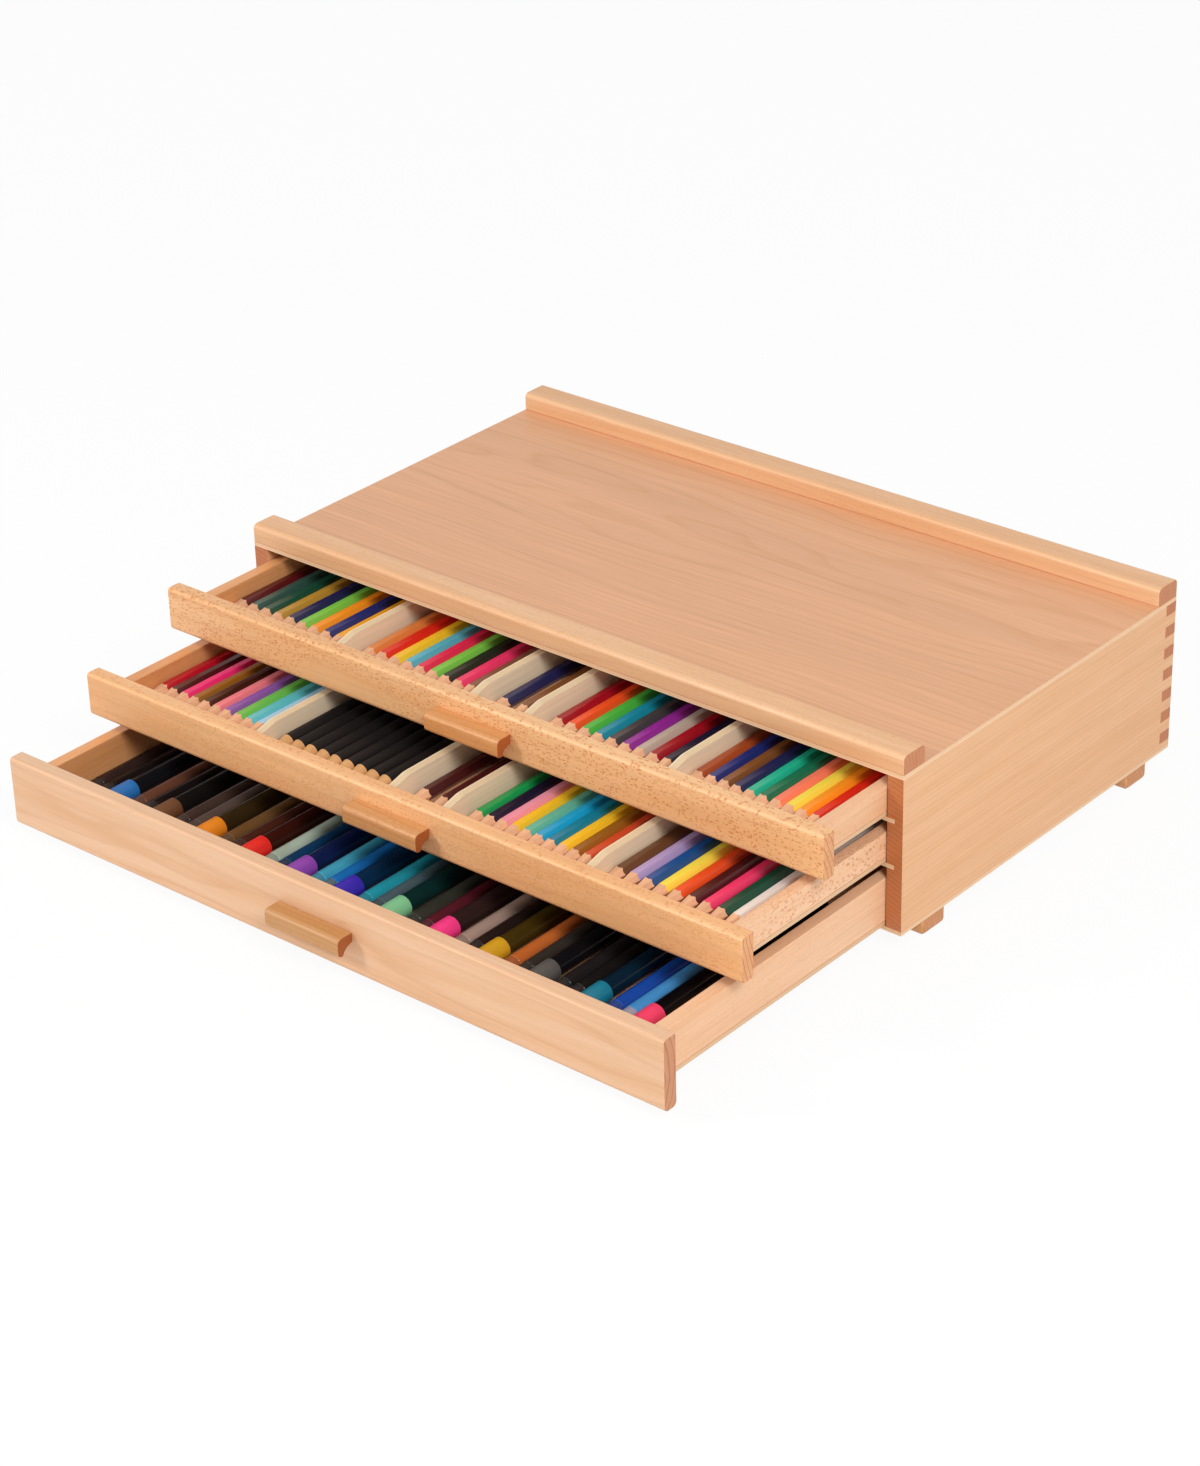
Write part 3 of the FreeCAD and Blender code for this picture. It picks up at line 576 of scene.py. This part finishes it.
class BOX_OT_drawer_fronts(bpy.types.Operator):
    """Drawer fronts with a rounded upper edge"""

    bl_idname = "drawer_box.drawer_fronts"
    bl_label = "Drawer fronts"

    def execute(self, context):
        wood = context.scene.box_beech
        # The top and middle fronts are golden and flecked; the bottom one is pale, with a broad soft figure.
        looks = {
            "top": ((34, 85), dict(golden=True, ring_share=0.15, fleck_share=0.75, end_share=0.3)),
            "middle": ((14, 85), dict(golden=True, ring_share=0.15, fleck_share=0.4, end_share=0.3,
                                      tint="#FFFAF6")),
            "bottom": ((-18, 52), dict(ring_share=0.22, fleck_share=0.08, pale_share=1.0, end_share=0.6,
                                       tint="#F4F5F5")),
        }
        for drawer, (heart, look) in looks.items():
            body = f"{drawer}_drawer"
            material = solid_beech(f"steamed_beech_{drawer}_front", wood, **look)
            low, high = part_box(f"{body}_front")
            outline = rounded(section(low, high),
                              {0: wood.front_under, 1: wood.front_under, 3: wood.front_round})
            board(f"{body}_front", body, "beech_fronts", material, "x", heart, wood.board_ease, outline)
        return {"FINISHED"}


class BOX_OT_finger_pulls(bpy.types.Operator):
    """Moulded finger pulls glued to the fronts"""

    bl_idname = "drawer_box.finger_pulls"
    bl_label = "Finger pulls"

    def execute(self, context):
        wood = context.scene.box_beech
        cove = wood.pull_cove
        # Each pull comes from another board: the lowest is the brownest. Their ends soak up most lacquer.
        tints = {"top": "#E6D4BA", "middle": "#DECCB4", "bottom": "#CFC2AA"}
        for drawer, tint in tints.items():
            material = solid_beech(f"steamed_beech_{drawer}_pull", wood, golden=True, tint=tint,
                                   ring_share=0.4, fleck_share=0.4, end_share=0.9, end_rings=0)
            body = f"{drawer}_drawer"
            low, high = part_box(f"{body}_pull")
            hollow = high.z - wood.pull_root - cove
            rise = low.z - hollow
            reach = math.sqrt(cove ** 2 - rise ** 2)
            start, end = math.pi - math.asin(rise / cove), math.pi / 2
            arc = [start + (end - start) * step / 12 for step in range(13)]
            corners = [(high.y, high.z), (low.y, high.z), (low.y, low.z), (high.y - reach, low.z)]
            outer = rounded(corners, {1: wood.pull_round, 2: wood.pull_round})[:-1]
            inner = [(high.y + cove * math.cos(turn), hollow + cove * math.sin(turn)) for turn in arc]
            board(f"{body}_pull", body, "beech_pulls", material, "x", (30, 46), wood.board_ease,
                  outer + inner)
        return {"FINISHED"}


class BOX_OT_dividers(bpy.types.Operator):
    """Birch plywood dividers with a soft bevel at the front"""

    bl_idname = "drawer_box.dividers"
    bl_label = "Dividers"

    def execute(self, context):
        wood = context.scene.box_beech
        low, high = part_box("top_drawer_divider_1")
        # Birch plywood, sanded and left bare: pale, even and dull, with its layers showing along the top.
        # Those layer colours also hold painted light: the pale outer layer, on the left side only, paints the
        # highlight on the left arris, and the darker inner layers paint shade, so the lit top matches the
        # faces in shade.
        material = plywood("birch_plywood", wood, wood.birch, wood.birch_edge_and_highlight, wood.birch_core_and_shade,
                           high.x - low.x, ring_share=0.05, rough=0.6, specular=0.3)
        for drawer in SLIM_DRAWERS:
            body = f"{drawer}_drawer"
            for index in range(1, 5):
                node = f"{body}_divider_{index}"
                low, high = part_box(node)
                corners = section(low, high)[:3] + [(low.y + wood.bevel_length, high.z),
                                                    (low.y, high.z - wood.bevel_drop)]
                outline = rounded(corners, {3: wood.bevel_turn})
                board(node, body, "divider_ply", material, "y", (60, 120), wood.ply_ease, outline)
        return {"FINISHED"}


# ---------- pencils and pens
PIGMENTS = {
    "scarlet": "#DC2614", "vermilion": "#F0501E", "crimson": "#C01125", "garnet": "#A00C1E",
    "rust": "#AE4B1F", "maroon": "#5E1318", "brick": "#D04A26", "salmon": "#F97E60",
    "blush": "#F07E86", "pink": "#F397A9", "rose": "#F5386A", "hot_pink": "#F02A74",
    "raspberry": "#E8284F", "orange": "#FF981F", "amber": "#F8A81A", "apricot": "#E0823D",
    "yellow": "#FBC428", "lemon": "#F8DE4C", "mustard": "#B98B31", "ochre": "#985E18",
    "brown": "#7E4C26", "umber": "#6D4324", "russet": "#87523C", "dark_brown": "#3E170A",
    "black_green": "#1E2A1C", "lime": "#7CC648", "apple": "#6FC052", "leaf": "#4BB43E",
    "emerald": "#189C50", "sea_green": "#66B79A", "bottle": "#12714E", "spruce": "#2E5248",
    "forest": "#0E4A36", "mint": "#1EB38E", "teal": "#0E8CA2", "turquoise": "#60C2C6",
    "sky": "#55B3C2", "pale_blue": "#A9D3EA", "azure": "#17A4CF", "petrol": "#0A7F9A",
    "cobalt": "#154F90", "blue": "#1B2A6E", "navy": "#1E2250", "ink": "#15132E",
    "violet": "#8E58A6", "purple": "#90258F", "lavender": "#B59CC8", "slate": "#413D3E",
    "stone": "#BCA898", "cream": "#EDE2D8", "mahogany": "#4A1416",
}
ROWS = {
    "top_drawer_pencils_left": "maroon spruce forest mustard navy lime orange blue amber",
    "top_drawer_pencils_centre_left": "apricot scarlet yellow sky raspberry lime black_green rose russet",
    "top_drawer_pencils_centre": "navy brown",
    "top_drawer_pencils_centre_right": "garnet vermilion leaf teal slate purple stone garnet ink",
    "top_drawer_pencils_right": "rust blue brown navy mint bottle salmon lemon orange scarlet",
    "middle_drawer_pencils_left": "crimson mahogany hot_pink ochre dark_brown blush violet apple turquoise "
                                  "pale_blue",
    "middle_drawer_pencils_centre": "mahogany mahogany",
    "middle_drawer_pencils_centre_right": "emerald ink pink yellow sea_green azure petrol yellow ochre brick",
    "middle_drawer_pencils_right": "umber lavender cobalt lemon vermilion mahogany rose forest cream",
}
CHARCOAL_NODE = "middle_drawer_pencils_centre_left"
CHARCOAL_COUNT = 9
# Each felt pen by its ink: its cap, its smoked barrel, and the first and second slim pen on its right.
FELT_PENS = {
    "blue": ("#2672B8", "#15161A", "#3A2A26", "#1C1615"),
    "brown": ("#6E452A", "#1A1715", "#6E4433", "#1E1716"),
    "orange": ("#E8871C", "#3A2A14", "#4A3730", "#5E4C44"),
    "red": ("#E82620", "#3E1710", "#6E4C2A", "#4A241A"),
    "violet": ("#9146AE", "#15224E", "#B2C0AE", "#12395C"),
    "indigo": ("#3E2AB0", "#0E2C4A", "#45A2BC", "#1F6FB8"),
    "mint": ("#84C892", "#0F302E", "#2AA2B4", "#4E6066"),
    "pink": ("#F63A86", "#33211F", "#3A3A32", "#5B1E28"),
    "ochre": ("#CF9C1C", "#46340E", "#A88C7E", "#2A1D19"),
    "grey": ("#565350", "#141316", "#C4672E", "#3A322C"),
    "teal": ("#107890", "#0B2334", "#241F20", "#1B1817"),
    "coral": ("#F2406A", "#0C0A0C", "#1A479E", "#4C9AD8"),
}
CAPS, BARRELS, SLIM_PENS_FIRST, SLIM_PENS_SECOND = zip(*FELT_PENS.values())
# Two of the second slim pens have a grip of another colour than their barrel.
GRIPS = {"indigo": "#5C6E74", "coral": "#A9A4B4"}


def hexagon_radius(flats, turn, corner_cut=0.97):
    """Distance from a hexagonal pencil's middle to its skin, with slightly rubbed corners."""
    to_flat = (turn % (math.pi / 3)) - math.pi / 6
    return min(flats / 2 / math.cos(to_flat), corner_cut * flats / 2 / math.cos(math.pi / 6))


def around(steps):
    return [math.tau * step / steps for step in range(steps)]


def hexagon_turns():
    """Angles round a pencil: close together at the six corners, few along the flats."""
    near = [math.radians(turn) for turn in (0, 3, 6.5, 18, 30, 42, 53.5, 57)]
    return [side * math.pi / 3 + turn for side in range(6) for turn in near]


def turned(mesh, layer, centre, turns, profile, paints, slots=None, close_end=True):
    """Skin a piece turned about a line along Y.

    The profile is pairs of Y and radius, each a size or a function of the turn. Each band between two pairs
    has a paint colour and a material slot.
    """
    rings = []
    for y, radius in profile:
        ring = []
        for turn in turns:
            out = radius(turn) if callable(radius) else radius
            along = y(turn) if callable(y) else y
            ring.append(mesh.verts.new((centre[0] + out * math.cos(turn), along,
                                        centre[1] + out * math.sin(turn))))
        rings.append(ring)
    slots = slots or [0] * len(paints)
    faces = []
    for band, (first, second) in enumerate(zip(rings, rings[1:])):
        for index in range(len(turns)):
            after = (index + 1) % len(turns)
            face = mesh.faces.new((first[index], first[after], second[after], second[index]))
            faces.append((face, slots[band], paints[band]))
    faces.append((mesh.faces.new(rings[0][::-1]), slots[0], paints[0]))
    if close_end:
        faces.append((mesh.faces.new(rings[-1]), slots[-1], paints[-1]))
    for face, slot, paint in faces:
        face.material_index = slot
        for corner in face.loops:
            corner[layer] = (*paint, 1)


# Material slots of a pencil, from its tip to its rear end: core, cut casing, paint, dipped end.
PENCIL_SLOTS = (2, 1, 0, 0)


def pencil(mesh, layer, centre, front, back, flats, settings, scallop_depth, paint):
    """A sharpened hexagonal pencil: core, cut casing with a scalloped edge, painted barrel, dipped end."""
    corner = flats / 2 / math.cos(math.pi / 6)

    def skin_at(turn):
        return hexagon_radius(flats, turn)

    def scallop(turn):
        return front + settings.point - scallop_depth * (corner - skin_at(turn)) / (corner - flats / 2)

    profile = ((front, settings.tip),
               (front + settings.bare_core, settings.bare_core * corner / settings.point),
               (scallop, skin_at),
               (back - settings.dipped_end, skin_at),
               (back, lambda turn: 0.9 * skin_at(turn)))
    turned(mesh, layer, centre, hexagon_turns(), profile, [paint] * 4, PENCIL_SLOTS)


def charcoal_pencil(mesh, layer, centre, front, back, radius, settings):
    """A round pencil turned to a long point, its matt paint ending in a clean ring."""
    core = settings.charcoal_core
    profile = ((front, settings.charcoal_tip),
               (front + core, core * radius / settings.charcoal_point),
               (front + settings.charcoal_point, radius),
               (back - settings.dipped_end, radius),
               (back, 0.9 * radius))
    turned(mesh, layer, centre, around(28), profile, [tuple(settings.charcoal)] * 4, PENCIL_SLOTS)


def painted_mesh():
    """An empty mesh, and the layer that holds each face's paint colour."""
    mesh = bmesh.new()
    return mesh, mesh.loops.layers.float_color.new("paint")


def row_places(low, high, width_of_one, count):
    """Where the axes of a row's pieces lie: X for each, and one height for all."""
    pitch = (high.x - low.x - width_of_one) / (count - 1)
    return [(low.x + width_of_one / 2 + pitch * index, (low.z + high.z) / 2) for index in range(count)]


class BOX_OT_pencils(bpy.types.Operator):
    """Rows of lacquered hexagonal pencils"""

    bl_idname = "drawer_box.pencils"
    bl_label = "Coloured pencils"

    def execute(self, context):
        settings = context.scene.box_pencils
        # Cellulose lacquer, dipped coat by coat: glossy, and a little uneven along the pencil.
        lacquer = coloured_coat("dipped_pencil_lacquer", 0.32, 0.5, (4, 60, 4), coat=0.25)
        # Incense cedar: pinkish and matt.
        casing = cut_casing("incense_cedar", settings.cedar)
        # Pigment bound with wax: dull and even.
        core = coloured_coat("pigment_core", 0.6, 0.3, (1, 3, 1))
        for node, names in ROWS.items():
            mesh, layer = painted_mesh()
            names = names.split()
            low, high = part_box(node)
            flats = high.z - low.z
            centres = row_places(low, high, flats / math.cos(math.pi / 6), len(names))
            draw = random.Random(node)
            for centre, name in zip(centres, names):
                back_off = draw.uniform(0, settings.stagger)
                pencil(mesh, layer, centre, low.y + back_off, high.y - settings.stagger + back_off, flats,
                       settings, settings.scallop * draw.uniform(0.6, 1.1), linear(PIGMENTS[name]))
            name = node.replace("_pencils_", "_coloured_pencils_")
            piece = finish_mesh(mesh, name, [lacquer, casing, core], 35)
            stand_in(piece, node.split("_pencils")[0], node)
        return {"FINISHED"}


class BOX_OT_charcoal_pencils(bpy.types.Operator):
    """The row of round charcoal pencils"""

    bl_idname = "drawer_box.charcoal_pencils"
    bl_label = "Charcoal pencils"

    def execute(self, context):
        settings = context.scene.box_pencils
        # Matt paint, rubbed a little lighter in streaks along the pencil.
        coat = coloured_coat("matt_black_paint", 0.5, 0.2, (3, 40, 3), spread=0.3)
        # Basswood: yellower than cedar, and matt.
        casing = cut_casing("basswood_casing", settings.charcoal_cedar)
        # Pressed charcoal: black, dull and crumbly.
        core = coloured_coat("pressed_charcoal", 0.75, 0.2, (0.8, 0.8, 0.8), spread=0.4)
        mesh, layer = painted_mesh()
        low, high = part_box(CHARCOAL_NODE)
        diameter = high.z - low.z
        draw = random.Random(CHARCOAL_NODE)
        for centre in row_places(low, high, diameter, CHARCOAL_COUNT):
            back_off = draw.uniform(0, settings.stagger)
            charcoal_pencil(mesh, layer, centre, low.y + back_off, high.y - settings.stagger + back_off,
                            diameter / 2, settings)
        piece = finish_mesh(mesh, "charcoal_pencils", [coat, casing, core], 35)
        stand_in(piece, "middle_drawer", CHARCOAL_NODE)
        return {"FINISHED"}


class BOX_OT_felt_pens(bpy.types.Operator):
    """Felt pens with ribbed caps, and the slim pens beside them"""

    bl_idname = "drawer_box.felt_pens"
    bl_label = "Felt pens and slim pens"

    def execute(self, context):
        settings = context.scene.box_pens
        # Moulded polypropylene: satin, with faint mottling where it cooled.
        cap_skin = coloured_coat("moulded_cap_polypropylene", 0.36, 0.5, (6, 6, 6), spread=0.08)
        # Smoked polystyrene: smooth and glossy, and darker in places where the ink behind it shows.
        barrel_skin = coloured_coat("smoked_polystyrene_barrel", 0.17, 0.25, (8, 30, 8), spread=0.3)
        self.caps(settings, cap_skin)
        self.barrels(settings, barrel_skin)
        self.slim_pens("slim_pens_first", SLIM_PENS_FIRST, settings, barrel_skin, {})
        self.slim_pens("slim_pens_second", SLIM_PENS_SECOND, settings, barrel_skin, GRIPS)
        return {"FINISHED"}

    def dress(self, mesh, name, node, slot, material):
        stand_in(finish_mesh(mesh, name, [material], 40), "bottom_drawer", node)

    def caps(self, settings, material):
        """Closed at the front, ribbed for grip, open where the barrel enters."""
        mesh, layer = painted_mesh()
        low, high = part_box("felt_pen_caps")
        radius = (high.z - low.z) / 2
        ribs = settings.ribs
        step = settings.cap_step
        plain_from = high.y - settings.cap_rim

        def ribbed(turn):
            return radius - settings.rib_depth * (0.5 - 0.5 * math.cos(ribs * turn))

        profile = ((low.y, radius - 2.4 * step),
                   (low.y + 0.4 * step, radius - 1.2 * step),
                   (low.y + 2 * step, radius - 0.3 * step),
                   (low.y + 4 * step, ribbed),
                   (plain_from - 1 * MM, ribbed),
                   (plain_from, radius),
                   (high.y - 0.3 * MM, radius),
                   (high.y, radius - 0.3 * MM),
                   (high.y, radius - settings.cap_wall))
        for centre, code in zip(row_places(low, high, 2 * radius, len(CAPS)), CAPS):
            turned(mesh, layer, centre, around(4 * ribs), profile, [linear(code)] * 8, close_end=False)
        self.dress(mesh, "felt_pen_ribbed_caps", "felt_pen_caps", "pen_caps", material)

    def barrels(self, settings, material):
        """The barrel behind the cap, and the plug that closes it."""
        mesh, layer = painted_mesh()
        low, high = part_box("felt_pen_barrels")
        cap_low, cap_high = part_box("felt_pen_caps")
        widest = (high.z - low.z) / 2
        radius = widest - 0.5 * MM
        neck = widest - 1.3 * MM
        plug = high.y - settings.plug
        profile = ((low.y, neck),
                   (cap_high.y, neck),
                   (cap_high.y + 0.05 * MM, radius - 0.4 * MM),
                   (cap_high.y + 0.4 * MM, radius),
                   (plug, radius),
                   (plug + 0.3 * MM, widest),
                   (high.y - 0.8 * MM, widest),
                   (high.y, widest - 0.8 * MM))
        for (x, z), code in zip(row_places(cap_low, cap_high, 2 * widest, len(BARRELS)), BARRELS):
            centre = (x, (low.z + high.z) / 2)
            turned(mesh, layer, centre, around(40), profile, [linear(code)] * 7)
        self.dress(mesh, "felt_pen_smoked_barrels", "felt_pen_barrels", "pen_barrels", material)

    def slim_pens(self, node, codes, settings, material, grips):
        """Slim pens: a tapered nose, a grip section and a plain barrel."""
        mesh, layer = painted_mesh()
        low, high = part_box(node)
        radius = (high.z - low.z) / 2
        grip_end = low.y + settings.grip
        profile = ((low.y, 0.5 * radius),
                   (low.y + settings.nose, radius - 0.15 * MM),
                   (grip_end - 0.2 * MM, radius - 0.15 * MM),
                   (grip_end, radius - 0.5 * MM),
                   (grip_end + 0.4 * MM, radius - 0.5 * MM),
                   (grip_end + 0.6 * MM, radius),
                   (high.y - 1 * MM, radius),
                   (high.y, radius - 1 * MM))
        for ink, centre, code in zip(FELT_PENS, row_places(low, high, 2 * radius, len(codes)), codes):
            tone = linear(code)
            grip = linear(grips[ink]) if ink in grips else tuple(0.7 * part + 0.02 for part in tone)
            turned(mesh, layer, centre, around(32), profile, [grip] * 3 + [tone] * 4)
        self.dress(mesh, f"{node}_barrels", node, "slim_pens", material)


# ---------- operator: studio
class BOX_OT_studio(bpy.types.Operator):
    """Pale floor, soft lights and camera"""

    bl_idname = "drawer_box.studio"
    bl_label = "Studio"

    # How far the floor is lifted to plain white; the rest keeps the box's shadow.
    floor_lift = 0.93

    def execute(self, context):
        studio = context.scene.box_studio
        context.scene.view_settings.view_transform = "Standard"
        self.floor(studio)
        self.sky(context, studio)
        self.lamp("key_softbox", (-1.05, -1.55, 1.2), 0.4, studio.key_power)
        self.lamp("side_softbox", (1.4, -0.75, 1.35), 0.6, studio.side_power)
        self.camera(context, studio)
        return {"FINISHED"}

    def floor(self, studio):
        """A floor much wider than the view, a hair below the feet."""
        mesh = bmesh.new()
        bmesh.ops.create_grid(mesh, x_segments=2, y_segments=2, size=12)
        floor = finish_mesh(mesh, "studio_floor", [self.floor_paint(studio)])
        floor.location.z = -0.05 * MM

    def backdrop_rays(self, tree):
        """1 for rays that should meet a white backdrop: from the camera, off a gloss or through glass."""
        seen = add(tree, "LightPath", out="Is Camera Ray")
        glossy, clear = (seen.node.outputs[f"Is {kind} Ray"] for kind in ("Glossy", "Transmission"))
        either = add(tree, "Math", (seen, glossy), operation="MAXIMUM")
        return add(tree, "Math", (either, clear), operation="MAXIMUM")

    def floor_paint(self, studio):
        """Matt white paint, lifted to plain white where a backdrop is seen, with a faint shadow."""
        material, tree = bare_material("matt_white_floor_paint")
        grain = stretched_noise(tree, piece_mm(tree), (2, 2, 2))
        shade = add(tree, "MapRange", (grain, 0, 1, 0.98, 1))
        tone = add(tree, "Mix", (1, studio.floor, shade), **MULTIPLY)
        paint = add(tree, "BsdfPrincipled", {"Base Color": tone, "Roughness": 0.9, "Specular IOR Level": 0})
        white = add(tree, "Emission", {"Color": (1, 1, 1), "Strength": 1})
        lift = add(tree, "Math", (self.backdrop_rays(tree), self.floor_lift), operation="MULTIPLY")
        add(tree, "OutputMaterial", (add(tree, "MixShader", (lift, paint, white)),))
        return material

    def sky(self, context, studio):
        """Even light all round, in front of a white backdrop."""
        world = bpy.data.worlds.new("studio_sky")
        context.scene.world = world
        world.use_nodes = True
        tree = world.node_tree
        tree.nodes.clear()
        even = add(tree, "Background", {"Color": (1, 1, 1), "Strength": studio.sky})
        white = add(tree, "Background", {"Color": (1, 1, 1), "Strength": 1})
        add(tree, "OutputWorld", (add(tree, "MixShader", (self.backdrop_rays(tree), even, white)),))

    def lamp(self, name, place, size, power):
        """A square softbox that faces the box."""
        light = bpy.data.lights.new(name, "AREA")
        light.size = size
        light.energy = power
        lamp = bpy.data.objects.new(name, light)
        lamp.location = place
        aim = BOX_MIDDLE - Vector(place)
        lamp.rotation_euler = aim.to_track_quat("-Z", "Y").to_euler()
        bpy.context.scene.collection.objects.link(lamp)

    def camera(self, context, studio):
        lens = bpy.data.cameras.new("camera")
        lens.sensor_fit = "HORIZONTAL"
        lens.sensor_width = 36
        lens.lens = studio.focal
        lens.clip_end = 50
        camera = bpy.data.objects.new("camera", lens)
        turn = (Matrix.Rotation(studio.azimuth, 4, "Z")
                @ Matrix.Rotation(math.pi / 2 - studio.elevation, 4, "X")
                @ Matrix.Rotation(-studio.roll, 4, "Z"))
        camera.matrix_world = Matrix.Translation(studio.camera) @ turn
        context.scene.collection.objects.link(camera)
        context.scene.camera = camera


# ---------- panel and registration
OPERATORS = (BOX_OT_case_sides, BOX_OT_case_panels, BOX_OT_strips_and_feet, BOX_OT_drawer_boxes,
             BOX_OT_drawer_fronts, BOX_OT_finger_pulls, BOX_OT_dividers, BOX_OT_pencils,
             BOX_OT_charcoal_pencils, BOX_OT_felt_pens, BOX_OT_studio)
SETTINGS = {"box_beech": BeechSettings, "box_pencils": PencilSettings, "box_pens": PenSettings,
            "box_studio": StudioSettings}


class BOX_PT_panel(bpy.types.Panel):
    """Lists every piece of the drawer box with its settings"""

    bl_idname = "BOX_PT_panel"
    bl_label = "Pencil drawer box"
    bl_space_type = "VIEW_3D"
    bl_region_type = "UI"
    bl_category = "Drawer Box"

    def draw(self, context):
        for operator in OPERATORS:
            self.layout.operator(operator.bl_idname)
        for name, group in SETTINGS.items():
            box = self.layout.box()
            box.label(text=group.__doc__)
            for prop in group.__annotations__:
                box.prop(getattr(context.scene, name), prop)


CLASSES = (*SETTINGS.values(), *OPERATORS, BOX_PT_panel)


def register():
    for each in CLASSES:
        bpy.utils.register_class(each)
    for name, group in SETTINGS.items():
        setattr(bpy.types.Scene, name, PointerProperty(type=group))


def unregister():
    for name in SETTINGS:
        delattr(bpy.types.Scene, name)
    for each in reversed(CLASSES):
        bpy.utils.unregister_class(each)


def main():
    register()
    for operator in OPERATORS:
        group, name = operator.bl_idname.split(".")
        getattr(getattr(bpy.ops, group), name)()


if __name__ == "__main__":
    main()
